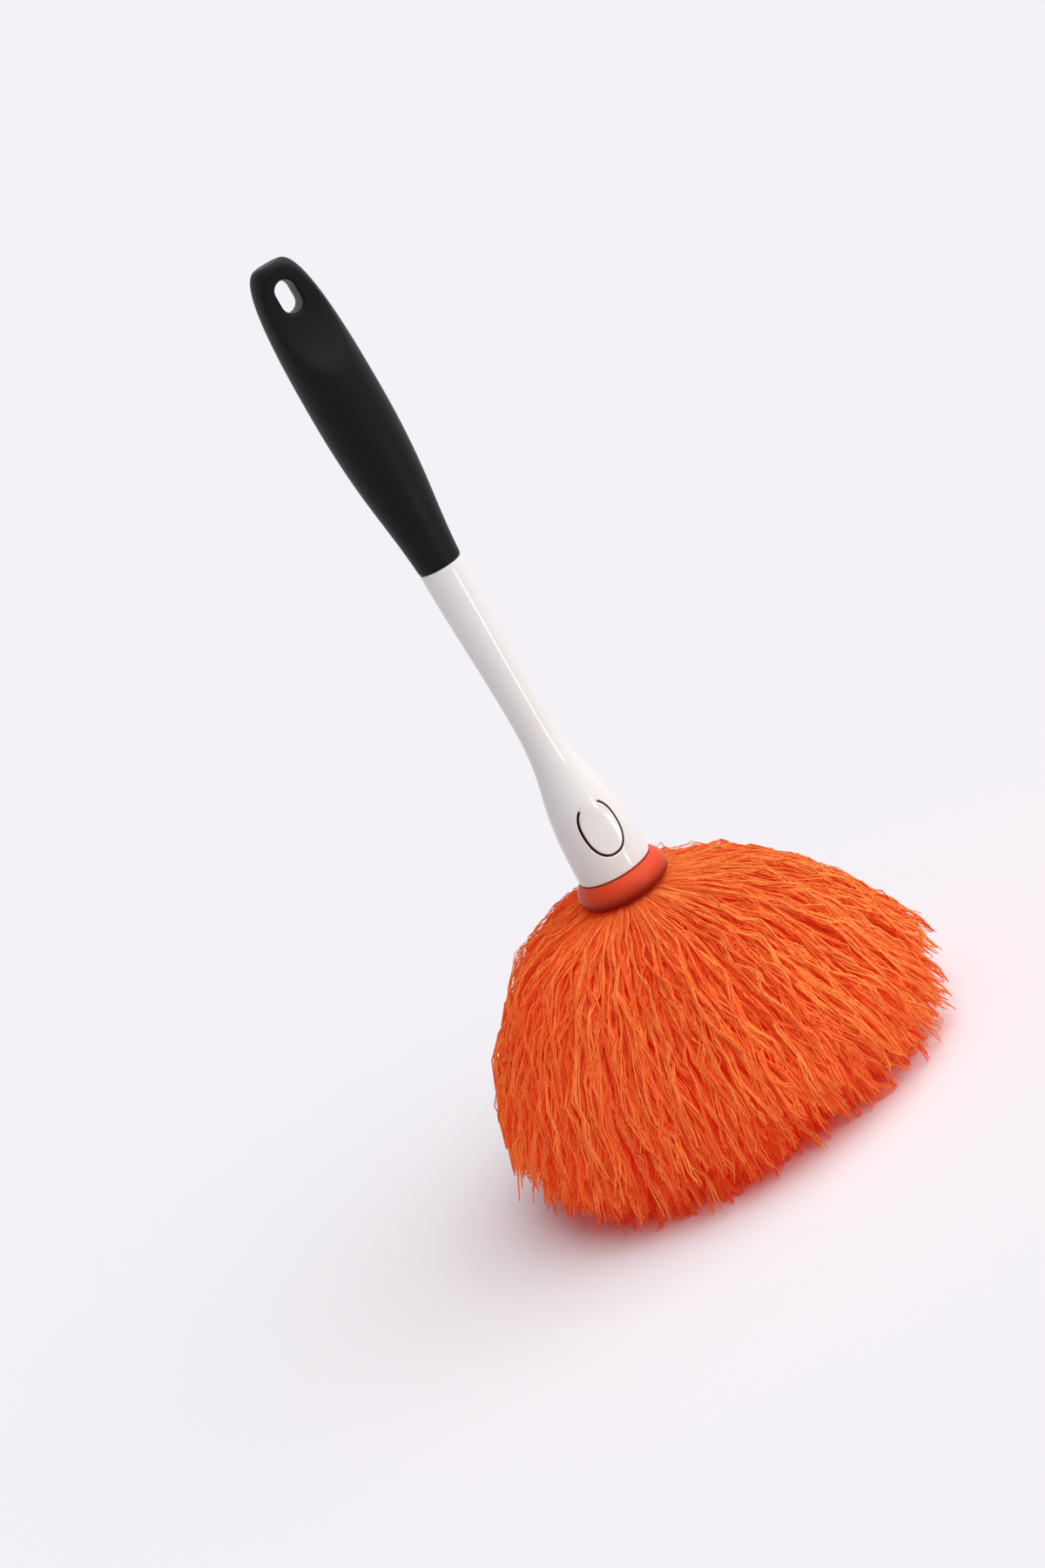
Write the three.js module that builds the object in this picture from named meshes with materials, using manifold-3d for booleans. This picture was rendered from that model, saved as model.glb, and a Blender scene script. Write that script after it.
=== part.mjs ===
// A hand duster: a hollow moulded handle with a soft grip, and a mop head of microfibre locks.
// The head plugs into the handle's mouth, where a snap tongue holds it until the press tab is pushed.
// Millimetres, +Z up along the handle, head down. The origin is the centre of the base that the tips make.
import * as THREE from "three";
import { mergeVertices } from "three/addons/utils/BufferGeometryUtils.js";
import Module from "manifold-3d";

const wasm = await Module();
wasm.setup();

// Overall sizes
const HEAD_RADIUS = 81; // axis to where the outer locks have drooped fully
const HEAD_DEPTH = 87; // base to the collar's lower rim
const COLLAR_HEIGHT = 9;
const HANDLE_LENGTH = 118; // the white part, from its mouth to the grip
const GRIP_LENGTH = 110;

// Gap kept between separate pieces
const CLEARANCE = 0.3;

// Handle: a bell at the mouth, a slim waist, and a tang inside the grip
const MOUTH_RADIUS = 13.1;
const MOUTH_FLARE = 0.4; // how far the wall leans in above the mouth
const WAIST_RADIUS = 6.3;
const WAIST_HEIGHT = 60; // above the mouth
const BELL_FULLNESS = 0.6; // share of the waist height where the bell still holds its width
const NECK_TIGHTNESS = 0.52; // share of the waist height where the neck begins
const GRIP_JOINT_RADIUS = 7.6;
const HANDLE_WALL = 2;
const CORE_RADIUS = 3.4; // bore through the neck and the tang
const TANG_RADIUS = 5.8;
const TANG_SETBACK = 32; // from the tang's end to the end of the grip
const PLUG_HEAD = 2;
const PLUG_SPIGOT = 6;

// Grip: swells to fill the palm, then narrows to a scooped end with a hole to hang it by
const GRIP_SWELL_RADIUS = 12.2;
const GRIP_SWELL_HEIGHT = 60; // above the grip's lower end
const BUTT_FLAT_RADIUS = 4;
const BUTT_ROUNDING = 5.6; // how far out from the flat its rounded edge starts to turn down
const BUTT_FULLNESS = 0.7; // share of the end's length that keeps the swell's width
const HANG_WEB = 12; // thickness left between the two scoops
const HANG_SCOOP_RADIUS = 60;
const HANG_HOLE_WIDTH = 7;
const HANG_HOLE_LENGTH = 11;
const HANG_HOLE_EDGE = 6; // from the hole's upper end to the butt

// Press tab: an oval cut free from the handle's wall, hinged at its upper end
const TAB_WIDTH = 13;
const TAB_LENGTH = 20.5;
const TAB_ABOVE_MOUTH = 6.9; // mouth to the tab's lower end
const TAB_ROUNDNESS = 2.3; // exponent of the oval: 2 is an ellipse
const TAB_WALL = 2;
const SLIT = 0.7;
const TAB_HINGE_WIDTH = 6.5;
const DISH_RADIUS = 30;
const DISH_DEPTH = 0.9;

// Socket, stem and latch
const SOCKET_GAP = 3.2; // from the handle's inner wall at the mouth to the stem, taken up by ribs and latch
const STEM_WALL = 1.8;
const STEM_TOP_RING = 2.6; // left above the tongue's slot
const STEM_CHAMFER = 0.8;
const RIB_WIDTH = 1.4;
const RIB_SETBACK = 2; // mouth to the ribs' lower ends
const KEY_WIDTH = 1.8;
const KEY_HEIGHT = 1.4;
const KEY_LENGTH = 16; // above the mouth
const TONGUE_WIDTH = 7;
const TOOTH_WIDTH = 5;
const TOOTH_LAND = 1.2; // flat height of the tooth above its catching face
const TOOTH_RAMP = 3;
const LATCH_BITE = 1; // overlap of tooth and catch ledge
const CATCH_HEIGHT = 3;

// Head hub
const COLLAR_RADIUS = 16.4; // at its fullest
const COLLAR_FOOT_RADIUS = 14.4;
const COLLAR_TOP = 3; // thickness of its upper wall
const COLLAR_SHOULDER = 0.8; // share of its spread that it takes just under the top
const COLLAR_BELLY = 0.55; // how far the guide of its curve goes past the fullest radius
const FLANGE_RADIUS = 11;
const FLANGE_THICKNESS = 2.5;
const SPIGOT_RADIUS = 4.6;
const RETAINER_LIP = 0.9; // how far the disc reaches under the root block
const RETAINER_THICKNESS = 1.8;
const SCREW_RADIUS = 1.2;
const SCREW_LENGTH = 10; // under the head
const SCREW_HEAD_RADIUS = 2.8;
const SCREW_HEAD_HEIGHT = 1.8;
const SCREW_CROSS_WIDTH = 0.8;
const SCREW_CROSS_LENGTH = 3.6;
const SCREW_CROSS_DEPTH = 1.1;

// Microfibre locks, rooted on a stitched block under the collar
const ROOT_RADIUS = 13.2;
const ROOT_DROP = 1; // root block's widest ring below the collar's rim
const LOCK_EXTRA = 12; // a lock is this much longer than the head is deep
const TIP_DROOP = 62; // how far a level lock hangs down by the time it reaches HEAD_RADIUS
const DROOP_POWER = 3.4;
const TIP_CUT = 0.5; // depth that the base is trimmed flat
const NEAR_BASE = 2; // a lock that comes this near to the base goes on to it
const LOCK_RINGS = [14, 14, 13, 12, 10, 8, 4]; // locks in each quarter, from the outer ring inwards
const OUTER_ROOT_ANGLE = 88; // degrees from straight down, where the outer ring is rooted
const INNER_ROOT_ANGLE = 28;
const INNER_TIP_ANGLE = 5; // where the inner ring points in the end
const LOCK_FILL = 0.72; // width of a lock over the room that it has
const LOCK_ROOT_THICKNESS = 1.1;
const LOCK_TIP_THICKNESS = 3;
const LOCK_STEPS = [3, 2, 2, 2, 2, 1, 1]; // straight stretches that follow a lock's bend, ring by ring
const LOCK_STEP_SPREAD = 0.7; // under 1 draws the steps towards the tip, where the bend is
const LOCK_BURIED = 4; // how deep a lock starts inside the root block

// How finely round shapes and curves are divided
const FACETS = 36;
const SMALL_FACETS = 24;
const ROOT_FACETS = 8; // the locks hide the root block
const ROOT_STEPS = 3;
const SCOOP_FACETS = 64;
const OVAL_POINTS = 40;
const BELL_STEPS = 14;
const TAPER_STEPS = 5;
const GRIP_STEPS = 8;
const COLLAR_STEPS = 9;

// How far a cutting block runs past the face that it cuts
const OVERRUN = 1;

// Levels and radii that follow from the sizes above
const mouthZ = HEAD_DEPTH + COLLAR_HEIGHT + CLEARANCE;
const rootZ = HEAD_DEPTH - ROOT_DROP;
const tangLength = GRIP_LENGTH - TANG_SETBACK;
const stemRadius = MOUTH_RADIUS - HANDLE_WALL - SOCKET_GAP;
const retainerRadius = SPIGOT_RADIUS + CLEARANCE + RETAINER_LIP;
const rootBottom = Math.sqrt(ROOT_RADIUS ** 2 - retainerRadius ** 2); // depth of the root block's lower face

// Heights above the mouth; those of the hub are below it
const tabTop = TAB_ABOVE_MOUTH + TAB_LENGTH;
const hingeHeight = tabTop + SLIT - CLEARANCE;
const stemTop = hingeHeight + CLEARANCE + STEM_TOP_RING;
const toothHeight = TAB_ABOVE_MOUTH - SLIT + CLEARANCE; // the tooth's catching face
const collarTop = -CLEARANCE;
const flangeTop = collarTop - COLLAR_TOP - CLEARANCE;
const flangeBottom = flangeTop - FLANGE_THICKNESS;
const spigotBottom = rootZ - rootBottom - mouthZ;
const retainerTop = spigotBottom - CLEARANCE;
const screwSeat = retainerTop - RETAINER_THICKNESS - CLEARANCE;

const at = (x, y) => new THREE.Vector2(x, y);

// A closed geometry as a solid to join and cut
function solid(geometry) {
  geometry.deleteAttribute("normal");
  geometry.deleteAttribute("uv");
  const merged = mergeVertices(geometry, 1e-4);
  const corners = merged.index.array;
  const kept = [];
  for (let i = 0; i < corners.length; i += 3) {
    const [a, b, c] = corners.slice(i, i + 3);
    if (a !== b && b !== c && c !== a) kept.push(a, b, c);
  }
  const build = (triVerts) =>
    new wasm.Manifold(
      new wasm.Mesh({
        numProp: 3,
        vertProperties: new Float32Array(merged.attributes.position.array),
        triVerts: new Uint32Array(triVerts),
      }),
    );
  const made = build(kept);
  return made.volume() > 0 ? made : build(kept.reverse());
}

function meshOf(name, made, material) {
  const result = made.getMesh();
  const positions = new Float32Array(result.numVert * 3);
  for (let i = 0; i < result.numVert; i++) {
    const start = i * result.numProp;
    positions.set(result.vertProperties.subarray(start, start + 3), i * 3);
  }
  const geometry = new THREE.BufferGeometry();
  geometry.setAttribute("position", new THREE.BufferAttribute(positions, 3));
  geometry.setIndex(new THREE.BufferAttribute(new Uint32Array(result.triVerts), 1));
  const mesh = new THREE.Mesh(geometry, material);
  mesh.name = name;
  return mesh;
}

// A profile of (radius, height) points turned about Z
function turned(profile, facets = FACETS) {
  return solid(new THREE.LatheGeometry(profile, facets).rotateX(Math.PI / 2));
}

// A plain cylinder about Z
function disc(radius, low, high, facets = FACETS) {
  return turned([at(0, low), at(radius, low), at(radius, high), at(0, high)], facets);
}

// A box between two corners
function block(low, high) {
  const [width, depth, height] = [0, 1, 2].map((i) => high[i] - low[i]);
  const [x, y, z] = [0, 1, 2].map((i) => (high[i] + low[i]) / 2);
  return solid(new THREE.BoxGeometry(width, depth, height).translate(x, y, z));
}

// A shape drawn in X and Z, pushed along Y from yLow to yHigh
function frontPrism(shape, yLow, yHigh) {
  const geometry = new THREE.ExtrudeGeometry(shape, { depth: yHigh - yLow, bevelEnabled: false });
  return solid(geometry.rotateX(Math.PI / 2).translate(0, yHigh, 0));
}

// Outer line of the handle above its mouth: bell and neck, then the taper up to the grip
const bellCurve = new THREE.CubicBezierCurve(
  at(MOUTH_RADIUS, 0),
  at(MOUTH_RADIUS - MOUTH_FLARE, BELL_FULLNESS * WAIST_HEIGHT),
  at(WAIST_RADIUS, NECK_TIGHTNESS * WAIST_HEIGHT),
  at(WAIST_RADIUS, WAIST_HEIGHT),
);
const taperThird = (HANDLE_LENGTH - WAIST_HEIGHT) / 3;
const taperCurve = new THREE.CubicBezierCurve(
  at(WAIST_RADIUS, WAIST_HEIGHT),
  at(WAIST_RADIUS, WAIST_HEIGHT + taperThird),
  at(GRIP_JOINT_RADIUS, HANDLE_LENGTH - taperThird),
  at(GRIP_JOINT_RADIUS, HANDLE_LENGTH),
);

// The bell's outer radius at a height, found by halving the curve
function bellRadius(height) {
  const halvings = 40;
  let low = 0;
  let high = 1;
  for (let i = 0; i < halvings; i++) {
    const middle = (low + high) / 2;
    if (bellCurve.getPoint(middle).y < height) low = middle;
    else high = middle;
  }
  return bellCurve.getPoint(low).x;
}

// The bell's body out to its outer line less an inset, from the mouth up to a height
function bellBody(inset, top) {
  const line = [];
  for (let i = 0; i <= BELL_STEPS; i++) {
    const height = (top * i) / BELL_STEPS;
    line.push(at(bellRadius(height) - inset, height));
  }
  return turned([at(0, 0), ...line, at(0, top)]);
}

// Room that the stem takes in the handle, with its clearance
function stemRoom(low, high) {
  return disc(stemRadius + CLEARANCE, low, high);
}

// Oval of the press tab, grown all round by a margin, as a prism through the front of the handle
function tabPrism(margin) {
  const centre = TAB_ABOVE_MOUTH + TAB_LENGTH / 2;
  const bulge = (value) => Math.sign(value) * Math.abs(value) ** (2 / TAB_ROUNDNESS);
  const points = [];
  for (let i = 0; i < OVAL_POINTS; i++) {
    const turn = (2 * Math.PI * i) / OVAL_POINTS;
    const across = (TAB_WIDTH / 2 + margin) * bulge(Math.cos(turn));
    const up = (TAB_LENGTH / 2 + margin) * bulge(Math.sin(turn));
    points.push(at(across, centre + up));
  }
  return frontPrism(new THREE.Shape(points), -2 * MOUTH_RADIUS, 0);
}

// How far in front of the axis the tooth and its catch ledge come, behind the tab's inner face
const tabInnerAtTooth = bellRadius(toothHeight) - TAB_WALL;
const toothReach = Math.sqrt(tabInnerAtTooth ** 2 - (TOOTH_WIDTH / 2) ** 2) - CLEARANCE;
const catchReach = toothReach - LATCH_BITE;

function handleShell() {
  const tangEnd = HANDLE_LENGTH + tangLength;
  const socketTop = stemTop + CLEARANCE;
  const shell = turned([
    at(0, 0),
    ...bellCurve.getPoints(BELL_STEPS),
    ...taperCurve.getPoints(TAPER_STEPS).slice(1),
    at(TANG_RADIUS, HANDLE_LENGTH),
    at(TANG_RADIUS, tangEnd),
    at(0, tangEnd),
  ])
    .subtract(bellBody(HANDLE_WALL, socketTop))
    .subtract(stemRoom(-OVERRUN, socketTop))
    .subtract(disc(CORE_RADIUS, socketTop - OVERRUN, tangEnd + OVERRUN));

  // Ribs that guide the stem: one each side, and a pair behind that takes its key
  const ribFace = stemRadius + CLEARANCE;
  const ribTop = socketTop + OVERRUN;
  const keyRoom = KEY_WIDTH / 2 + CLEARANCE;
  const ribs = [
    block([ribFace, -RIB_WIDTH / 2, RIB_SETBACK], [MOUTH_RADIUS, RIB_WIDTH / 2, ribTop]),
    block([-MOUTH_RADIUS, -RIB_WIDTH / 2, RIB_SETBACK], [-ribFace, RIB_WIDTH / 2, ribTop]),
    block([keyRoom, ribFace, RIB_SETBACK], [keyRoom + RIB_WIDTH, MOUTH_RADIUS, ribTop]),
    block([-keyRoom - RIB_WIDTH, ribFace, RIB_SETBACK], [-keyRoom, MOUTH_RADIUS, ribTop]),
  ];

  // Ledge under the tab's slit that the tooth of the snap tongue catches on
  const catchTop = toothHeight - CLEARANCE;
  const catchHalf = TOOTH_WIDTH / 2 + CLEARANCE;
  const catchLedge = block(
    [-catchHalf, -MOUTH_RADIUS, catchTop - CATCH_HEIGHT],
    [catchHalf, -catchReach, catchTop],
  );
  const keyway = block(
    [-keyRoom, 0, -OVERRUN],
    [keyRoom, stemRadius + KEY_HEIGHT + CLEARANCE, KEY_LENGTH + CLEARANCE],
  );
  const wallMiddle = bellBody(HANDLE_WALL / 2, ribTop);
  return [...ribs, catchLedge]
    .reduce((body, piece) => body.add(piece.intersect(wallMiddle)), shell)
    .subtract(tabPrism(SLIT))
    .subtract(keyway);
}

// A piece of the handle's wall with a thumb dish; its hinge strip closes the slit at the upper end
function pressTab() {
  const top = hingeHeight + OVERRUN;
  const wall = bellBody(0, top).subtract(bellBody(TAB_WALL, top)).subtract(stemRoom(0, top));
  const hingeStrip = block(
    [-TAB_HINGE_WIDTH / 2, -2 * MOUTH_RADIUS, tabTop - TAB_HINGE_WIDTH],
    [TAB_HINGE_WIDTH / 2, 0, hingeHeight],
  );
  const outline = tabPrism(0).add(hingeStrip.intersect(tabPrism(SLIT - CLEARANCE)));
  const centre = TAB_ABOVE_MOUTH + TAB_LENGTH / 2;
  const dishDistance = bellRadius(centre) + DISH_RADIUS - DISH_DEPTH;
  const dish = new THREE.SphereGeometry(DISH_RADIUS, SCOOP_FACETS, SCOOP_FACETS / 2);
  return wall.intersect(outline).subtract(solid(dish.translate(0, -dishDistance, centre)));
}

function tangPlug() {
  const end = HANDLE_LENGTH + tangLength;
  const seat = end + CLEARANCE;
  const spigot = CORE_RADIUS - CLEARANCE;
  const outline = [
    at(0, end - PLUG_SPIGOT),
    at(spigot, end - PLUG_SPIGOT),
    at(spigot, seat),
    at(TANG_RADIUS, seat),
    at(TANG_RADIUS, seat + PLUG_HEAD),
    at(0, seat + PLUG_HEAD),
  ];
  return turned(outline, SMALL_FACETS);
}

// Heights here are above the grip's own lower end
function gripSleeve() {
  const swell = new THREE.CubicBezierCurve(
    at(GRIP_JOINT_RADIUS, 0),
    at(GRIP_JOINT_RADIUS + (GRIP_SWELL_RADIUS - GRIP_JOINT_RADIUS) / 4, GRIP_SWELL_HEIGHT / 3),
    at(GRIP_SWELL_RADIUS, GRIP_SWELL_HEIGHT / 2),
    at(GRIP_SWELL_RADIUS, GRIP_SWELL_HEIGHT),
  );
  const endLength = GRIP_LENGTH - GRIP_SWELL_HEIGHT;
  const butt = new THREE.CubicBezierCurve(
    at(GRIP_SWELL_RADIUS, GRIP_SWELL_HEIGHT),
    at(GRIP_SWELL_RADIUS, GRIP_SWELL_HEIGHT + BUTT_FULLNESS * endLength),
    at(BUTT_FLAT_RADIUS + BUTT_ROUNDING, GRIP_LENGTH),
    at(BUTT_FLAT_RADIUS, GRIP_LENGTH),
  );
  const body = turned([
    at(0, 0),
    ...swell.getPoints(GRIP_STEPS),
    ...butt.getPoints(GRIP_STEPS).slice(1),
    at(0, GRIP_LENGTH),
  ]);
  const pocket = disc(TANG_RADIUS + CLEARANCE, -OVERRUN, tangLength + PLUG_HEAD + CLEARANCE);

  const holeTop = GRIP_LENGTH - HANG_HOLE_EDGE;
  const holeCentre = holeTop - HANG_HOLE_LENGTH / 2;
  const holeRadius = HANG_HOLE_WIDTH / 2;
  const hole = new THREE.Shape();
  hole.absarc(0, holeTop - holeRadius, holeRadius, 0, Math.PI);
  hole.absarc(0, holeTop - HANG_HOLE_LENGTH + holeRadius, holeRadius, Math.PI, 2 * Math.PI);

  const across = 4 * GRIP_SWELL_RADIUS;
  const scoop = (side) => {
    const roller = new THREE.CylinderGeometry(HANG_SCOOP_RADIUS, HANG_SCOOP_RADIUS, across, SCOOP_FACETS);
    const distance = side * (HANG_WEB / 2 + HANG_SCOOP_RADIUS);
    return solid(roller.rotateZ(Math.PI / 2).translate(0, distance, holeCentre));
  };
  return body
    .subtract(pocket)
    .subtract(scoop(1))
    .subtract(scoop(-1))
    .subtract(frontPrism(hole, -2 * GRIP_SWELL_RADIUS, 2 * GRIP_SWELL_RADIUS));
}

// A tube that goes into the handle, on a flange with a spigot under it that carries the yarn
function headStem() {
  const inner = stemRadius - STEM_WALL;
  const stem = turned([
    at(0, spigotBottom),
    at(SPIGOT_RADIUS, spigotBottom),
    at(SPIGOT_RADIUS, flangeBottom),
    at(FLANGE_RADIUS, flangeBottom),
    at(FLANGE_RADIUS, flangeTop),
    at(stemRadius, flangeTop),
    at(stemRadius, stemTop - STEM_CHAMFER),
    at(stemRadius - STEM_CHAMFER, stemTop),
    at(inner, stemTop),
    at(inner, flangeTop),
    at(0, flangeTop),
  ]);
  const key = block(
    [-KEY_WIDTH / 2, stemRadius - STEM_WALL / 2, 0],
    [KEY_WIDTH / 2, stemRadius + KEY_HEIGHT, KEY_LENGTH],
  );
  const slotHalf = TONGUE_WIDTH / 2 + CLEARANCE;
  const slot = block(
    [-slotHalf, -2 * stemRadius, toothHeight - CLEARANCE],
    [slotHalf, 0, hingeHeight + CLEARANCE],
  );
  const pilot = disc(
    SCREW_RADIUS + CLEARANCE,
    spigotBottom - OVERRUN,
    screwSeat + SCREW_LENGTH + CLEARANCE,
    SMALL_FACETS,
  );
  return stem.add(key).subtract(slot).subtract(pilot);
}

// A strip of the stem's wall that hangs from its upper end, with the tooth at its lower end
function snapTongue() {
  const inner = stemRadius - STEM_WALL;
  const tube = disc(stemRadius, toothHeight, hingeHeight).subtract(
    disc(inner, toothHeight - OVERRUN, hingeHeight + OVERRUN),
  );
  const strip = block(
    [-TONGUE_WIDTH / 2, -2 * stemRadius, toothHeight],
    [TONGUE_WIDTH / 2, 0, hingeHeight],
  );
  // The tooth seen from the side, with a ramp above it that leads it in
  const buried = stemRadius - STEM_WALL / 2;
  const rampTop = toothHeight + TOOTH_LAND + TOOTH_RAMP;
  const side = new THREE.Shape([
    at(-buried, toothHeight),
    at(-toothReach, toothHeight),
    at(-toothReach, toothHeight + TOOTH_LAND),
    at(-stemRadius, rampTop),
    at(-buried, rampTop),
  ]);
  const tooth = new THREE.ExtrudeGeometry(side, { depth: TOOTH_WIDTH, bevelEnabled: false });
  tooth.rotateX(Math.PI / 2).rotateZ(Math.PI / 2).translate(-TOOTH_WIDTH / 2, 0, 0);
  return tube.intersect(strip).add(solid(tooth));
}

function headCollar() {
  const foot = collarTop - COLLAR_HEIGHT;
  const spread = COLLAR_RADIUS - MOUTH_RADIUS;
  const bulge = new THREE.CubicBezierCurve(
    at(MOUTH_RADIUS, collarTop),
    at(MOUTH_RADIUS + COLLAR_SHOULDER * spread, collarTop - COLLAR_HEIGHT / 10),
    at(COLLAR_RADIUS + COLLAR_BELLY * spread, foot + COLLAR_HEIGHT / 4),
    at(COLLAR_FOOT_RADIUS, foot),
  );
  const recess = FLANGE_RADIUS + CLEARANCE;
  const bore = stemRadius + CLEARANCE;
  return turned([
    ...bulge.getPoints(COLLAR_STEPS).reverse(),
    at(bore, collarTop),
    at(bore, collarTop - COLLAR_TOP),
    at(recess, collarTop - COLLAR_TOP),
    at(recess, foot),
    at(COLLAR_FOOT_RADIUS, foot),
  ]);
}

function retainerDisc() {
  const hole = SCREW_RADIUS + CLEARANCE;
  const bottom = retainerTop - RETAINER_THICKNESS;
  const chamfer = RETAINER_THICKNESS / 2;
  const outline = [
    at(hole, bottom),
    at(retainerRadius - chamfer, bottom),
    at(retainerRadius, bottom + chamfer),
    at(retainerRadius, retainerTop),
    at(hole, retainerTop),
    at(hole, bottom),
  ];
  return turned(outline, SMALL_FACETS);
}

function retainerScrew() {
  const bottom = screwSeat - SCREW_HEAD_HEIGHT;
  const tip = screwSeat + SCREW_LENGTH;
  const edge = SCREW_HEAD_HEIGHT / 3;
  const outline = [
    at(0, bottom),
    at(SCREW_HEAD_RADIUS - edge, bottom),
    at(SCREW_HEAD_RADIUS, bottom + edge),
    at(SCREW_HEAD_RADIUS, screwSeat),
    at(SCREW_RADIUS, screwSeat),
    at(SCREW_RADIUS, tip - 2 * SCREW_RADIUS),
    at(0, tip),
  ];
  const narrow = SCREW_CROSS_WIDTH / 2;
  const long = SCREW_CROSS_LENGTH / 2;
  const deep = bottom + SCREW_CROSS_DEPTH;
  return turned(outline, SMALL_FACETS)
    .subtract(block([-long, -narrow, bottom - OVERRUN], [long, narrow, deep]))
    .subtract(block([-narrow, -long, bottom - OVERRUN], [narrow, long, deep]));
}

// A lock leaves the root block straight out and turns towards its own far angle, and then it droops.
// At one distance the order of the rings never changes, so no two locks cross.
function lockPoint(distance, rootAngle, tipAngle, turn) {
  const ease = (ROOT_RADIUS / distance) ** 2;
  const angle = tipAngle + (rootAngle - tipAngle) * ease;
  const radius = distance * Math.sin(angle);
  const droop = TIP_DROOP * (radius / HEAD_RADIUS) ** DROOP_POWER;
  const height = -distance * Math.cos(angle) - droop;
  return new THREE.Vector3(radius * Math.cos(turn), radius * Math.sin(turn), height);
}

// Distance at which a lock ends: at its full length, or where its whole end is under the base
function lockEnd(rootAngle, tipAngle) {
  const step = 0.5;
  const fullLength = HEAD_DEPTH + LOCK_EXTRA;
  const underBase = -rootZ - TIP_CUT - LOCK_TIP_THICKNESS / 2;
  let distance = ROOT_RADIUS;
  let length = 0;
  let last = lockPoint(distance, rootAngle, tipAngle, 0);
  while (last.z > underBase && (length < fullLength || last.z < -rootZ + NEAR_BASE)) {
    distance += step;
    const next = lockPoint(distance, rootAngle, tipAngle, 0);
    length += next.distanceTo(last);
    last = next;
  }
  return distance;
}

// One lock as a three-sided strand that widens with the room it has, an angle about the axis
function lock(rootAngle, tipAngle, turn, room, steps) {
  const start = ROOT_RADIUS - LOCK_BURIED;
  const end = lockEnd(rootAngle, tipAngle);
  const across = new THREE.Vector3(-Math.sin(turn), Math.cos(turn), 0);
  const section = [[-1, -0.5], [1, -0.5], [0, 0.5]];
  const positions = [];
  for (let i = 0; i <= steps; i++) {
    const share = (i / steps) ** LOCK_STEP_SPREAD;
    const distance = start + (end - start) * share;
    const centre = lockPoint(distance, rootAngle, tipAngle, turn);
    const along = lockPoint(distance + 1, rootAngle, tipAngle, turn).sub(centre).normalize();
    const outward = new THREE.Vector3().crossVectors(across, along);
    const halfWidth = (LOCK_FILL / 2) * room * Math.hypot(centre.x, centre.y);
    const thickness = THREE.MathUtils.lerp(LOCK_ROOT_THICKNESS, LOCK_TIP_THICKNESS, share);
    for (const [side, rise] of section) {
      const corner = centre.clone().addScaledVector(across, side * halfWidth);
      corner.addScaledVector(outward, rise * thickness);
      positions.push(corner.x, corner.y, corner.z);
    }
  }
  const faces = [0, 1, 2];
  for (let i = 0; i < steps; i++) {
    for (let side = 0; side < 3; side++) {
      const a = 3 * i + side;
      const b = 3 * i + ((side + 1) % 3);
      faces.push(a, a + 3, b, b, a + 3, b + 3);
    }
  }
  const last = 3 * steps;
  faces.push(last, last + 2, last + 1);
  const geometry = new THREE.BufferGeometry();
  geometry.setAttribute("position", new THREE.Float32BufferAttribute(positions, 3));
  geometry.setIndex(faces);
  return solid(geometry);
}

// A quarter of the stitched root block with its locks; heights are above the block's widest ring
function yarnQuarter() {
  const neckTop = flangeBottom - CLEARANCE + mouthZ - rootZ;
  const lowest = -Math.acos(retainerRadius / ROOT_RADIUS);
  const ball = new THREE.EllipseCurve(0, 0, ROOT_RADIUS, ROOT_RADIUS, lowest, 0);
  const rootOutline = [
    at(0, -rootBottom),
    ...ball.getPoints(ROOT_STEPS),
    at(FLANGE_RADIUS, 0),
    at(FLANGE_RADIUS, neckTop),
    at(0, neckTop),
  ];
  const cut = CLEARANCE / 2;
  const reach = 2 * (HEAD_RADIUS + HEAD_DEPTH);
  const corner = block([cut, cut, -reach], [reach, reach, reach]);
  const pieces = [turned(rootOutline, ROOT_FACETS).intersect(corner)];

  LOCK_RINGS.forEach((count, ring) => {
    const share = ring / (LOCK_RINGS.length - 1);
    const rootAngle = THREE.MathUtils.lerp(OUTER_ROOT_ANGLE, INNER_ROOT_ANGLE, share);
    const tipAngle = THREE.MathUtils.lerp(OUTER_ROOT_ANGLE, INNER_TIP_ANGLE, share);
    const angles = [rootAngle, tipAngle].map(THREE.MathUtils.degToRad);
    const room = Math.PI / 2 / count;
    for (let i = 0; i < count; i++) {
      pieces.push(lock(...angles, room * (i + 0.5), room, LOCK_STEPS[ring]));
    }
  });
  const floor = block([-reach, -reach, -rootZ - reach], [reach, reach, -rootZ]);
  const bore = disc(SPIGOT_RADIUS + CLEARANCE, -rootBottom - CLEARANCE, neckTop + OVERRUN);
  return wasm.Manifold.union(pieces).subtract(floor).subtract(bore);
}

function finish(color, roughness, metalness = 0) {
  return new THREE.MeshStandardMaterial({ color, roughness, metalness });
}
const whiteAbs = finish(0xf1efed, 0.22);
const blackTpe = finish(0x1d1c1e, 0.62);
const orangeSatin = finish(0xcf4329, 0.45);
const orangeAbs = finish(0xe8622c, 0.35);
const microfibre = finish(0xf4651f, 0.95);
const steel = finish(0xb8b9bb, 0.35, 1);

const duster = new THREE.Group();

const handle = new THREE.Group();
handle.position.z = mouthZ;
handle.add(meshOf("handle_shell", handleShell(), whiteAbs));
handle.add(meshOf("press_tab", pressTab(), whiteAbs));
handle.add(meshOf("tang_plug", tangPlug(), whiteAbs));
const grip = meshOf("grip_sleeve", gripSleeve(), blackTpe);
grip.position.z = HANDLE_LENGTH + CLEARANCE;
handle.add(grip);
duster.add(handle);

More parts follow.
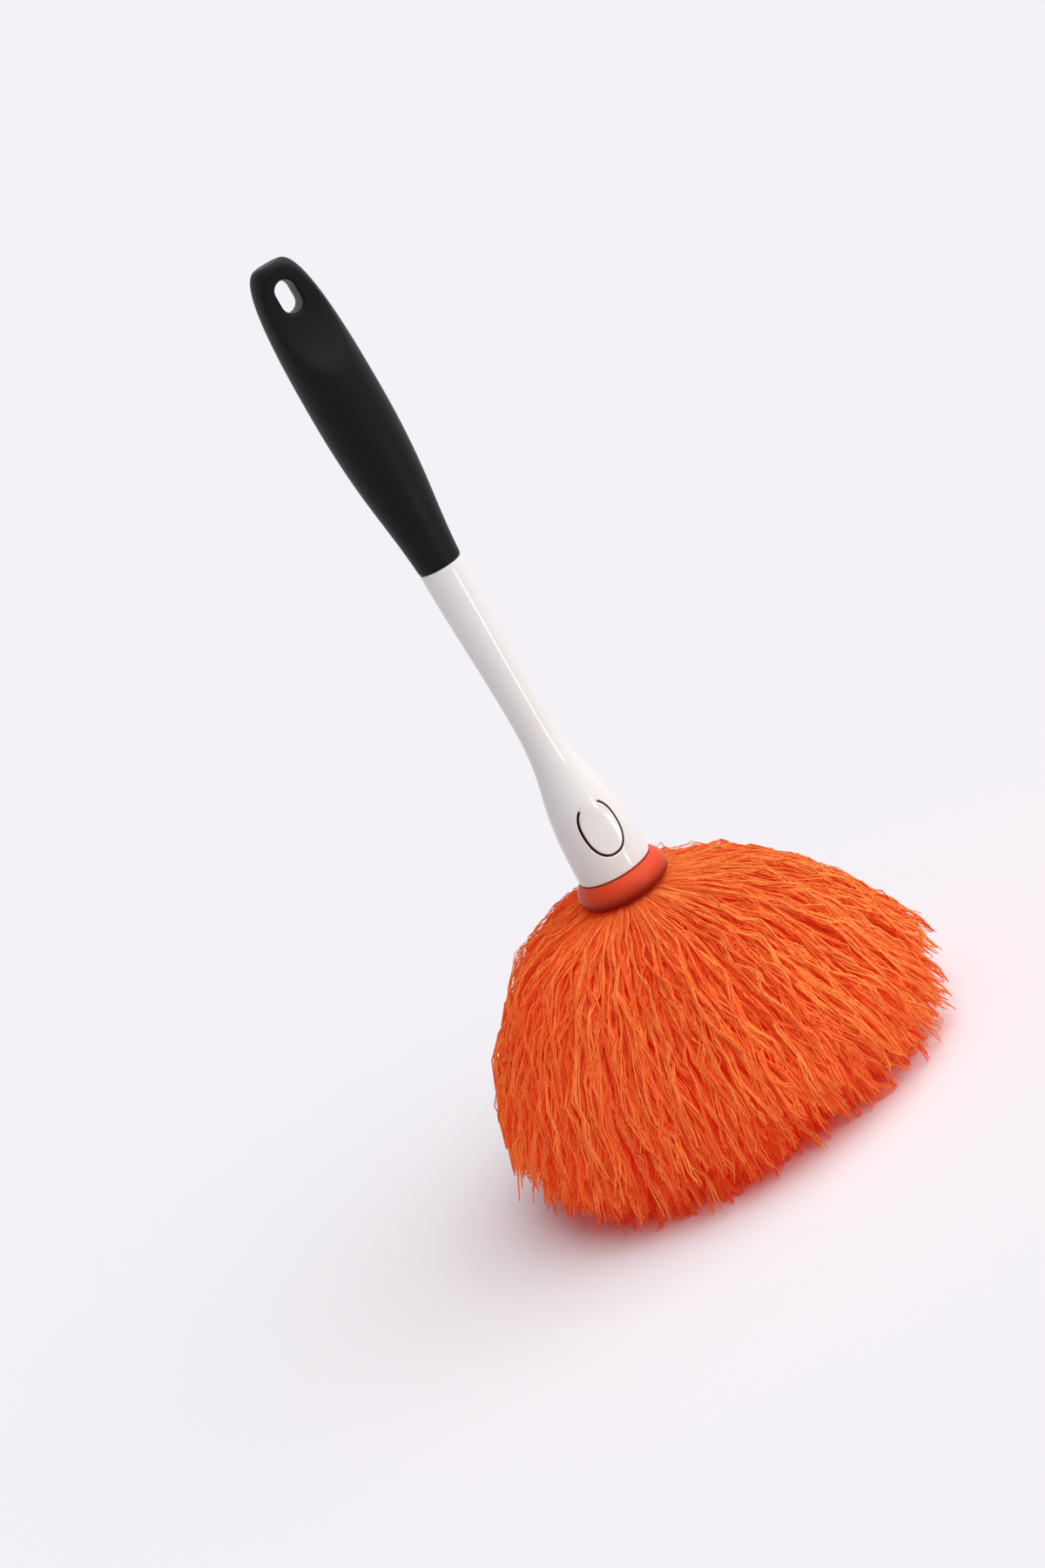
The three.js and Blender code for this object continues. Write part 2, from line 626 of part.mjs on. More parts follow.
const head = new THREE.Group();
head.position.z = mouthZ;
head.add(meshOf("head_stem", headStem(), orangeAbs));
head.add(meshOf("snap_tongue", snapTongue(), orangeAbs));
head.add(meshOf("head_collar", headCollar(), orangeSatin));
head.add(meshOf("retainer_disc", retainerDisc(), orangeAbs));
head.add(meshOf("retainer_screw", retainerScrew(), steel));
duster.add(head);

const mop = new THREE.Group();
mop.position.z = rootZ;
const quarter = yarnQuarter();
["back_right", "back_left", "front_left", "front_right"].forEach((name, i) => {
  const yarn = meshOf("yarn_" + name, quarter, microfibre);
  yarn.rotation.z = (i * Math.PI) / 2;
  mop.add(yarn);
});
duster.add(mop);

export default duster;
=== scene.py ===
import math
from functools import partial

import bmesh
import bpy
import numpy as np
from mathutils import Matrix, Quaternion, Vector


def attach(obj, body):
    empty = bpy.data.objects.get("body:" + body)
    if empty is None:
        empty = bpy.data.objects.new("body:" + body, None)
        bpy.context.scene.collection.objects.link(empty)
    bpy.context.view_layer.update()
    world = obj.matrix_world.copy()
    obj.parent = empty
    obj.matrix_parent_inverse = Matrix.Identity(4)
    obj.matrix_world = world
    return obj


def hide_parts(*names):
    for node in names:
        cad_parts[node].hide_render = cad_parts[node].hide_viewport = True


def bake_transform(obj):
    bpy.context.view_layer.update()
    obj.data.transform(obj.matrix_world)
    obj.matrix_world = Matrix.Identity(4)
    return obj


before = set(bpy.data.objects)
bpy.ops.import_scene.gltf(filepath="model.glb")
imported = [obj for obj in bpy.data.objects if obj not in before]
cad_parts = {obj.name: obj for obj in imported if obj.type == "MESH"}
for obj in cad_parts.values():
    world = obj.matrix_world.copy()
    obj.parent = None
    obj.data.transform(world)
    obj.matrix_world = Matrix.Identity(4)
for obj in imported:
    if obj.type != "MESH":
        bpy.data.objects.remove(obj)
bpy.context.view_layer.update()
mm = 0.001
print("frame loaded:", len(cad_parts), "nodes")


def linear(hexText):  # sRGB hex to linear RGBA
    parts = [int(hexText[i:i + 2], 16) / 255 for i in (1, 3, 5)]
    return [c / 12.92 if c <= 0.04045 else ((c + 0.055) / 1.055) ** 2.4 for c in parts] + [1.0]


def addNode(tree, kind, inputs=None, out=0, **settings):  # a node with its settings and links; gives one output
    node = tree.nodes.new(kind)
    for key, value in settings.items():
        setattr(node, key, value)
    for socket, value in (inputs or {}).items():
        if isinstance(value, bpy.types.NodeSocket):
            tree.links.new(value, node.inputs[socket])
        else:
            node.inputs[socket].default_value = value
    return node if out is None else node.outputs[out]


def newMaterial(name, **sockets):
    material = bpy.data.materials.new(name)
    material.use_nodes = True
    shader = material.node_tree.nodes["Principled BSDF"]
    for key, value in sockets.items():
        shader.inputs[key.replace("_", " ")].default_value = value
    return material, material.node_tree, shader


def linkShader(tree, shader, **sources):
    for key, source in sources.items():
        tree.links.new(source, shader.inputs[key.replace("_", " ")])


def showObject(name, data):
    thing = bpy.data.objects.new(name, data)
    bpy.context.scene.collection.objects.link(thing)
    return thing


def mouldedPlastic(name, finish):  # a faintly cloudy tone and gloss over a fine bump; sizes in mm
    material, tree, shader = newMaterial(name, IOR=finish["ior"], Specular_IOR_Level=finish["specular"])
    add = partial(addNode, tree)
    where = add("ShaderNodeTexCoord", out="Object")
    if "drawn" in finish:  # pattern stretched along the pull of the mould
        where = add("ShaderNodeMapping", {"Vector": where, "Scale": (1, 1, finish["drawn"])})
    cloud, grain = (
        add("ShaderNodeTexNoise", {"Vector": where, "Scale": 1 / (size * mm), "Detail": detail}, out="Fac")
        for size, detail in (finish["cloud"], finish["grain"]))
    low, high = (linear(colour) for colour in finish["tones"])
    tint = add("ShaderNodeMix", {0: cloud, 6: low, 7: high}, out=2, data_type="RGBA")
    # painted shade: the colour goes to the dark tone where the attribute is 1
    if "shade" in finish:
        shade = add("ShaderNodeAttribute", out="Fac", attribute_name=finish["shade"])
        tint = add("ShaderNodeMix", {0: shade, 6: tint, 7: linear(finish["shadeTone"])}, out=2, data_type="RGBA")
    gloss = add("ShaderNodeMapRange", {0: cloud, 3: finish["roughness"][0], 4: finish["roughness"][1]})
    strength, depth = finish["bump"]
    bump = add("ShaderNodeBump", {"Height": grain, "Strength": strength, "Distance": depth * mm})
    linkShader(tree, shader, Base_Color=tint, Roughness=gloss, Normal=bump)
    return material


# gloss moulded ABS: near white with clear reflections, and a faint ripple left by the polished mould
whiteAbs = mouldedPlastic("glossAbsWhite", {
    "ior": 1.52, "specular": 0.5, "tones": ("#EEEAE6", "#F2EFEC"), "cloud": (24, 3), "roughness": (0.1, 0.15),
    "grain": (3.5, 1), "bump": (0.25, 0.006),
    "shade": "paintedShade", "shadeTone": "#151312",  # 1 on the slit's walls, less on the mouth's rounded edge and inside: painted shade
})

# soft-touch elastomer: black and satin, with the fine grain of a spark-eroded mould
blackTpe = mouldedPlastic("softTpeBlack", {
    "ior": 1.5, "specular": 0.14, "tones": ("#080708", "#0E0D0E"), "cloud": (14, 4), "roughness": (0.4, 0.52),
    "grain": (0.45, 2), "bump": (0.35, 0.03),  # 0.2 mm grit, drawn coarser to show
})

# satin polypropylene: red-orange with a broad soft highlight
orangeSatin = mouldedPlastic("satinPolypropyleneOrange", {
    "ior": 1.49, "specular": 0.205, "tones": ("#DC421B", "#EA4C22"), "cloud": (9, 3), "roughness": (0.34, 0.42),
    "grain": (0.5, 1), "bump": (0.2, 0.012),  # 0.2 mm grit, drawn coarser to show
    "shade": "foot", "shadeTone": "#7A170A",  # 1 at the lower edge and on the top face under the handle: painted shade
})

# moulded ABS of the hub: orange, plainer than the handle, with light lines along the pull of the mould
orangeAbs = mouldedPlastic("mouldedAbsOrange", {
    "ior": 1.52, "specular": 0.5, "tones": ("#DD5526", "#E9642F"), "cloud": (1.2, 2), "roughness": (0.28, 0.38),
    "grain": (1.2, 2), "bump": (0.2, 0.02), "drawn": 0.08,
})

# zinc-plated steel: grey metal with fine turned rings
zinc = {"ringWidth": 1.6, "unevenness": 1.5, "tones": ("#A9AAAC", "#C6C7CA"), "roughness": (0.28, 0.4)}
zincSteel, tree, shader = newMaterial("zincPlatedSteel", Metallic=1.0)
where = addNode(tree, "ShaderNodeTexCoord", out="Object")
rings = addNode(tree, "ShaderNodeTexWave", {
    "Vector": where, "Scale": 1 / (zinc["ringWidth"] * mm), "Distortion": zinc["unevenness"], "Detail": 2,
}, out="Fac", wave_type="RINGS", rings_direction="Z")
low, high = (linear(colour) for colour in zinc["tones"])
tint = addNode(tree, "ShaderNodeMix", {0: rings, 6: low, 7: high}, out=2, data_type="RGBA")
shine = addNode(tree, "ShaderNodeMapRange", {0: rings, 3: zinc["roughness"][0], 4: zinc["roughness"][1]})
linkShader(tree, shader, Base_Color=tint, Roughness=shine)

# split microfibre yarn: matt orange bundles of hair-thin filaments, each yarn a slightly different tone
fibre = {
    "tones": ("#FD3210", "#FF9B49"), "toneRange": (0.66, 1.34), "sheen": "#FF9A5A",
    "glow": "#FF3414", "paintedGlowStrength": 0.16,  # painted light: the yarn glows faintly, so gaps between yarns stay red
    "streaksRound": 9.0, "streakLength": 7 * mm,  # filaments are 0.02 mm, drawn as 0.4 mm streaks to show
    "toneApart": 61.0, "bump": (0.5, 0.25),
}
# painted light: the yarn glows faintly red-orange
microfibre, tree, shader = newMaterial(
    "splitMicrofibreYarn", Roughness=0.85, IOR=1.45, Specular_IOR_Level=0.25,
    Sheen_Weight=0.7, Sheen_Roughness=0.5, Sheen_Tint=linear(fibre["sheen"]),
    Emission_Color=linear(fibre["glow"]), Emission_Strength=fibre["paintedGlowStrength"])
add = partial(addNode, tree)
tone, along, around = (
    add("ShaderNodeAttribute", out="Fac", attribute_name=name) for name in ("tone", "along", "around"))
acrossYarn = add("ShaderNodeMath", {0: around, 1: fibre["streaksRound"]}, operation="MULTIPLY")
downYarn = add("ShaderNodeMath", {0: along, 1: 1 / fibre["streakLength"]}, operation="MULTIPLY")
toneShift = add("ShaderNodeMath", {0: tone, 1: fibre["toneApart"]}, operation="MULTIPLY")
thread = add("ShaderNodeCombineXYZ", {0: acrossYarn, 1: downYarn, 2: toneShift})
filament = add("ShaderNodeTexNoise", {"Vector": thread, "Scale": 1.0, "Detail": 2}, out="Fac")
mixed = add("ShaderNodeMath", {0: filament, 1: tone}, operation="ADD")
ramp = add("ShaderNodeMapRange", {0: mixed, 1: fibre["toneRange"][0], 2: fibre["toneRange"][1]})
low, high = (linear(colour) for colour in fibre["tones"])
tint = add("ShaderNodeMix", {0: ramp, 6: low, 7: high}, out=2, data_type="RGBA")
strength, depth = fibre["bump"]
bump = add("ShaderNodeBump", {"Height": filament, "Strength": strength, "Distance": depth * mm})
linkShader(tree, shader, Base_Color=tint, Normal=bump)
print("materials made")


roundSteps = np.radians([0, 22, 45, 68, 90])  # the rows of a rounded edge


def bezier(a, b, c, d, steps):  # points of a cubic curve, ends included
    t = np.linspace(0, 1, steps + 1)[:, None]
    a, b, c, d = (np.array(p, float) for p in (a, b, c, d))
    return (1 - t) ** 3 * a + 3 * (1 - t) ** 2 * t * b + 3 * (1 - t) * t ** 2 * c + t ** 3 * d


def smoothStep(value, low, high):
    t = np.clip((value - low) / (high - low), 0, 1)
    return t * t * (3 - 2 * t)


def circle(radius, turns, height):  # points round the axis, turned from the front
    return np.stack([radius * np.sin(turns), -radius * np.cos(turns), height + 0 * turns], axis=-1)


def fullTurn(count):
    return 2 * np.pi * np.arange(count) / count


def addRing(bm, points):  # points in mm
    return [bm.verts.new((p[0] * mm, p[1] * mm, p[2] * mm)) for p in points]


def joinRings(bm, rings, cut=None):  # quads between rings of the same count, except where a window is cut
    for row, (low, high) in enumerate(zip(rings, rings[1:])):
        for i in range(len(low)):
            j = (i + 1) % len(low)
            if not (cut and cut(row, i)):
                bm.faces.new((low[i], low[j], high[j], high[i]))


def capRing(bm, ring, centre):  # a fan that closes a ring
    middle = addRing(bm, [centre])[0]
    for i in range(len(ring)):
        bm.faces.new((ring[i], ring[(i + 1) % len(ring)], middle))


def windowEdge(half, heights, count):  # the grid places round a window, with the turn and height of each
    span = len(heights) - 1
    edge = [(c, 0) for c in range(-half, half)] + [(half, r) for r in range(span)]
    edge += [(c, span) for c in range(half, -half, -1)] + [(-half, r) for r in range(span, 0, -1)]
    return edge, np.array([2 * np.pi * c / count for c, r in edge]), np.array([heights[r] for c, r in edge])


def finishPiece(bm, name, material, sharpAngle=40):
    bmesh.ops.remove_doubles(bm, verts=bm.verts, dist=1e-7)
    bmesh.ops.recalc_face_normals(bm, faces=bm.faces)
    for edge in bm.edges:
        edge.smooth = edge.calc_face_angle(0) < math.radians(sharpAngle)
    for face in bm.faces:
        face.smooth = True
    mesh = bpy.data.meshes.new(name)
    bm.to_mesh(mesh)
    bm.free()
    mesh.materials.append(material)
    return showObject(name, mesh)


def place(piece, body, slotName, *nodes):
    if body:
        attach(piece, body)
    if nodes:
        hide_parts(*nodes)
    return piece


# handle: the white bell, neck and tang, with a window for the press tab; heights from the mouth
handle = {
    "mouth": 96.3, "mouthRadius": 13.1, "flare": 0.4, "waistRadius": 6.3, "waist": 60, "fullness": 0.6,
    "tightness": 0.52, "jointRadius": 7.6, "length": 118, "wall": 2, "core": 3.4, "tang": 5.8, "tangTop": 196,
    "socketTop": 31, "stemRoom": 8.2, "mouthLip": 0.5, "jointLip": 0.35, "columns": 192,
    "footRows": (1.2, 2.1), "window": (3.0, 30.4), "windowRows": 33, "neckFrom": 31.4, "neckRows": 70,
    "boreRows": (1.2, 0.4), "boreEdge": ((0.15, 0.1), (0.4, 0)),  # under the window, and the mouth's broken edge
    "patch": (0.86, 0.72, 0.58, 0.45, 0.33, 0.22, 0.12, 0.05, 0.0),  # loops from the window's edge in to the slit
    # painted shade on the mouth's rounded edge over the collar, and half on the inside
    "mouthShade": (1.0, 0.9, 0.3), "insideShade": 0.5,
    "blocks": [  # corners of the four ribs that guide the stem, and of the ledge that its tooth catches on
        ((8.2, -0.7, 2), (10.2, 0.7, 31)), ((-10.2, -0.7, 2), (-8.2, 0.7, 31)),
        ((1.2, 8.2, 2), (2.6, 10.2, 31)), ((-2.6, 8.2, 2), (-1.2, 10.2, 31)),
        ((-2.8, -11.4, 3.2), (2.8, -9.1, 6.2)),
    ],
    "blockSkin": 0.8,  # wall left outside the blocks
}
pressTab = {
    "width": 11.9, "length": 18.5, "aboveMouth": 7.8, "roundness": 2.3, "slit": 0.7, "lip": 0.42, "neckHalf": 3.3,
    "neckLip": 0.3, "neckFade": 0.9, "wall": 2, "flatten": 0.5, "flatHalf": 6.2, "columns": 160,
    "face": (0.06, 0.16, 0.3, 0.44, 0.57, 0.69, 0.79, 0.87, 0.93),  # its loops, as shares of the outline
    "back": (0.8, 0.5, 0.2), "shift": 0.14,  # the slit is wider on the left than on the right
    "bendY": -11, "bendAbove": 0.7, "bendBelow": 3,  # where the real tab flexes, from just above its upper end to just below
}
bell = bezier(
    (handle["mouthRadius"], 0), (handle["mouthRadius"] - handle["flare"], handle["fullness"] * handle["waist"]),
    (handle["waistRadius"], handle["tightness"] * handle["waist"]), (handle["waistRadius"], handle["waist"]), 400)
third = (handle["length"] - handle["waist"]) / 3
taper = bezier(
    (handle["waistRadius"], handle["waist"]), (handle["waistRadius"], handle["waist"] + third),
    (handle["jointRadius"], handle["length"] - third), (handle["jointRadius"], handle["length"]), 200)
handleLine = np.vstack([bell, taper[1:]])
tabCentre = pressTab["aboveMouth"] + pressTab["length"] / 2


def handleRadius(height):
    return np.interp(height, handleLine[:, 1], handleLine[:, 0])


def handleBore(height):
    return np.maximum(handleRadius(height) - handle["wall"], handle["stemRoom"])


def handlePoint(x, height, depth=0.0, inset=0.0):  # a point on the front of the bell, pushed in along Y
    radius = handleRadius(height) - inset
    y = -(np.sqrt(np.maximum(radius ** 2 - x ** 2, 0)) - depth)
    return np.stack([x, y, height + handle["mouth"]], axis=-1)


def tabOval(angle, margin):  # the tab's outline grown by a margin, at angles round its centre
    power = pressTab["roundness"]
    reach = (np.abs(np.cos(angle)) ** power + np.abs(np.sin(angle)) ** power) ** (-1 / power)
    x = (pressTab["width"] / 2 + margin) * reach * np.cos(angle)
    return x, tabCentre + (pressTab["length"] / 2 + margin) * reach * np.sin(angle)


def besideNeck(angle):  # how round the edge is: full along the slit, a faint crease at the uncut neck
    x, height = tabOval(angle, pressTab["slit"])
    share = smoothStep(np.abs(x), pressTab["neckHalf"], pressTab["neckHalf"] + pressTab["neckFade"])
    return np.where(height > tabCentre, pressTab["neckLip"] + (1 - pressTab["neckLip"]) * share, 1.0)


def buildHandle():
    bm = bmesh.new()
    paintedShade = bm.verts.layers.float.new("paintedShade")
    count, mouth, length = handle["columns"], handle["mouth"], handle["length"]
    half = count // 8  # columns each side of the tab that the window takes
    heights = np.linspace(*handle["window"], handle["windowRows"])
    lip, top = handle["mouthLip"], handle["jointLip"]
    profile = [(handle["mouthRadius"] - lip + lip * math.sin(b), lip - lip * math.cos(b)) for b in roundSteps]
    profile += [(handleRadius(h), h) for h in handle["footRows"]]
    outerFirst = len(profile)
    profile += [(handleRadius(h), h) for h in heights]
    outerLast = len(profile) - 1
    shoulder, crown = handle["jointRadius"] - top, length - top
    profile += [(handleRadius(h), h) for h in np.linspace(handle["neckFrom"], crown, handle["neckRows"])]
    profile += [(shoulder + top * math.cos(b), crown + top * math.sin(b)) for b in roundSteps[1:]]
    profile += [(handle["tang"], length), (handle["tang"], handle["tangTop"]), (handle["core"], handle["tangTop"])]
    profile += [(handle["core"], handle["socketTop"]), (handle["stemRoom"], handle["socketTop"])]
    innerFirst = len(profile)
    profile += [(handleBore(h), h) for h in heights[::-1]]
    innerLast = len(profile) - 1
    profile += [(handleBore(h), h) for h in handle["boreRows"]]
    profile += [(handleBore(0) + out, h) for out, h in handle["boreEdge"]]

    def hidden(row, column):
        near = column < half or column > count - half
        return near and (outerFirst < row < outerLast or innerFirst < row < innerLast)

    def cut(row, column):
        near = column < half or column >= count - half
        return near and (outerFirst <= row < outerLast or innerFirst <= row < innerLast)

    grid = []
    for row, (radius, height) in enumerate(profile):
        points = circle(radius, fullTurn(count), height + mouth)
        grid.append([None if hidden(row, c) else bm.verts.new(points[c] * mm) for c in range(count)])
        # painted shade on the inner rows and the mouth's edge
        shade = handle["insideShade"] if row >= innerFirst - 1 else 0.0
        if row < len(handle["mouthShade"]):
            shade = handle["mouthShade"][row]
        for v in filter(None, grid[-1]):
            v[paintedShade] = shade
    joinRings(bm, grid + grid[:1], cut)

    # the window: loops run from the grid's edge to the slit's lip, through the wall, and out to the inner grid
    edge, edgeTurn, edgeHeight = windowEdge(half, heights, count)
    edgeX = handleRadius(edgeHeight) * np.sin(edgeTurn)
    slit, lip = pressTab["slit"], pressTab["lip"]
    angle = np.arctan2(
        (edgeHeight - tabCentre) / (pressTab["length"] / 2 + slit), edgeX / (pressTab["width"] / 2 + slit))
    soft = besideNeck(angle)
    rings = [[grid[outerFirst + r][c % count] for c, r in edge]]
    x, height = tabOval(angle, slit + lip * soft)
    ovalTurn = np.arcsin(x / handleRadius(height))
    for share in handle["patch"]:
        turn = ovalTurn + (edgeTurn - ovalTurn) * share
        high = height + (edgeHeight - height) * share
        rings.append(addRing(bm, handlePoint(handleRadius(high) * np.sin(turn), high)))
    for b in roundSteps[1:]:
        x, height = tabOval(angle, slit + lip * soft * (1 - math.sin(b)))
        rings.append(addRing(bm, handlePoint(x, height, lip * soft * (1 - math.cos(b)))))
    x, height = tabOval(angle, slit)
    inside = handleBore(height)
    wallStart = handlePoint(x, height, lip * soft)
    wallEnd = np.stack([x, -np.sqrt(inside ** 2 - x ** 2), height + mouth], axis=-1)
    # painted shade, full on the slit's walls
    for share in (0.3, 0.65, 1.0):
        rings.append(addRing(bm, wallStart + (wallEnd - wallStart) * share))
        for v in rings[-1]:
            v[paintedShade] = 1.0
    wallTurn = np.arcsin(x / inside)
    for share in (0.3, 0.65):
        turn = wallTurn + (edgeTurn - wallTurn) * share
        high = height + (edgeHeight - height) * share
        rings.append(addRing(bm, circle(handleBore(high), turn, high + mouth)))
    rings.append([grid[innerLast - r][c % count] for c, r in edge])
    joinRings(bm, rings)

    # painted shade, half on the ribs and the ledge
    for low, high in handle["blocks"]:
        for v in bmesh.ops.create_cube(bm, size=1)["verts"]:
            v[paintedShade] = handle["insideShade"]
            x, y, z = (low[k] + (high[k] - low[k]) * (v.co[k] + 0.5) for k in range(3))
            inWall = min(1, (handleRadius(z) - handle["blockSkin"]) / math.hypot(x, y))
            v.co = x * inWall * mm, y * inWall * mm, (z + mouth) * mm
    return finishPiece(bm, "handle_white", whiteAbs)


def buildTab():
    bm = bmesh.new()
    paintedShade = bm.verts.layers.float.new("paintedShade")
    lip, wall, shift, count = (pressTab[key] for key in ("lip", "wall", "shift", "columns"))
    angle = 2 * np.pi * (np.arange(count) + 0.5) / count
    x, height = tabOval(angle, 0)
    neck = (height > tabCentre) & (np.abs(x) < pressTab["neckHalf"])
    soft = np.where(neck, pressTab["neckLip"], 1.0)
    outline = np.where(neck, pressTab["slit"], 0.0)

    def sunk(x, high):  # the pressed face is flatter than the bell round it, and flush at the neck
        radius = handleRadius(high)
        side, sag = (
            radius - np.sqrt(np.maximum(radius ** 2 - across ** 2, 0)) for across in (pressTab["flatHalf"], x))
        up = (high - tabCentre) / (pressTab["length"] / 2)
        fade = (1 - smoothStep(up, 0.1, 1.0)) * (1 - 0.35 * smoothStep(-up, 0.5, 1.0))
        return pressTab["flatten"] * np.maximum(side - sag, 0) * fade

    x = x + shift
    rings = []
    for share in pressTab["face"]:
        faceX, high = x * share, tabCentre + (height - tabCentre) * share
        rings.append(addRing(bm, handlePoint(faceX, high, sunk(faceX, high))))
    for b in roundSteps:
        faceX, high = tabOval(angle, outline - lip * soft * (1 - math.sin(b)))
        faceX = faceX + shift
        depth = sunk(faceX, high) + lip * soft * (1 - math.cos(b))
        rings.append(addRing(bm, handlePoint(faceX, high, depth)))
    front = handlePoint(faceX, high, sunk(faceX, high) + lip * soft)
    back = handlePoint(faceX, high, 0, wall)
    # painted shade, full on the tab's side walls in the slit
    for share in (0.3, 1.0):
        rings.append(addRing(bm, front + (back - front) * share))
        for v in rings[-1]:
            v[paintedShade] = 1.0
    # painted shade, half on the tab's back
    for share in pressTab["back"]:
        rings.append(addRing(bm, handlePoint(x * share, tabCentre + (height - tabCentre) * share, 0, wall)))
        for v in rings[-1]:
            v[paintedShade] = handle["insideShade"]
    joinRings(bm, rings)
    middle = np.array([0.0]), np.array([tabCentre])
    capRing(bm, rings[0], handlePoint(*middle, sunk(*middle))[0])
    capRing(bm, rings[-1], handlePoint(*middle, 0, wall)[0])
    return finishPiece(bm, "press_tab_white", whiteAbs)


place(buildHandle(), "handle", "white_abs", "handle_shell")
tabPiece = place(buildTab(), None, "white_abs", "press_tab")
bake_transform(tabPiece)
print("handle and press tab made")

# grip: a swelling sleeve with two scoops and a hole to hang it by; heights from its foot
grip = {
    "foot": 214.6, "jointRadius": 7.6, "swellRadius": 12.2, "swell": 60, "length": 110, "flat": 4, "rounding": 5.6,
    "fullness": 0.7, "web": 12, "scoop": 60, "scoopEdge": 1.6, "holeWidth": 7, "holeLength": 11, "holeTop": 104,
    "holeLip": 1.1, "pocket": 6.1, "pocketTop": 80.3, "pocketMiddle": 40, "pocketEdge": 0.3, "footLip": 0.5,
    "columns": 160, "shaft": (1.5, 89), "shaftRows": 64, "window": (90.2, 106.6), "windowRows": 25,
    "end": 106.9, "endRows": 22,
    "patch": (0.8, 0.6, 0.4, 0.2, 0.0), "patchTall": 1.5, "inHole": 0.33,  # loops round the hole
}
rise = grip["swellRadius"] - grip["jointRadius"]
swell = bezier(
    (grip["jointRadius"], 0), (grip["jointRadius"] + rise / 4, grip["swell"] / 3),
    (grip["swellRadius"], grip["swell"] / 2), (grip["swellRadius"], grip["swell"]), 300)
butt = bezier(
    (grip["swellRadius"], grip["swell"]),
    (grip["swellRadius"], grip["swell"] + grip["fullness"] * (grip["length"] - grip["swell"])),
    (grip["flat"] + grip["rounding"], grip["length"]), (grip["flat"], grip["length"]), 300)
gripLine = np.vstack([swell, butt[1:]])
holeCentre = grip["holeTop"] - grip["holeLength"] / 2


def gripRadius(height):
    return np.interp(height, gripLine[:, 1], gripLine[:, 0])


def scoopFace(height):  # half the thickness between the two scoops
    drop = np.clip(np.abs(height - holeCentre), 0, grip["scoop"] * 0.99)
    return grip["web"] / 2 + grip["scoop"] - np.sqrt(grip["scoop"] ** 2 - drop ** 2)


def gripPoint(turn, height, radius, depth=0.0):  # round section cut by the scoops, with a soft edge between
    face = scoopFace(height) / np.maximum(np.abs(np.cos(turn)), 0.05)
    soft = grip["scoopEdge"]
    share = np.clip(0.5 + 0.5 * (face - radius) / soft, 0, 1)
    reach = face * (1 - share) + radius * share - soft * share * (1 - share)
    sign = np.where(np.cos(turn) > 0, 1, -1)
    return np.stack([reach * np.sin(turn), -reach * np.cos(turn) + depth * sign, height + grip["foot"]], axis=-1)


def holeOutline(angle, margin):  # the hole is round at both ends
    radius = grip["holeWidth"] / 2 + margin
    straight = (grip["holeLength"] - grip["holeWidth"]) / 2
    side = radius / np.maximum(np.abs(np.cos(angle)), 1e-6)
    rounded = straight * np.abs(np.sin(angle)) + np.sqrt(radius ** 2 - (straight * np.cos(angle)) ** 2)
    reach = np.where(side * np.abs(np.sin(angle)) <= straight, side, rounded)
    return reach * np.cos(angle), holeCentre + reach * np.sin(angle)


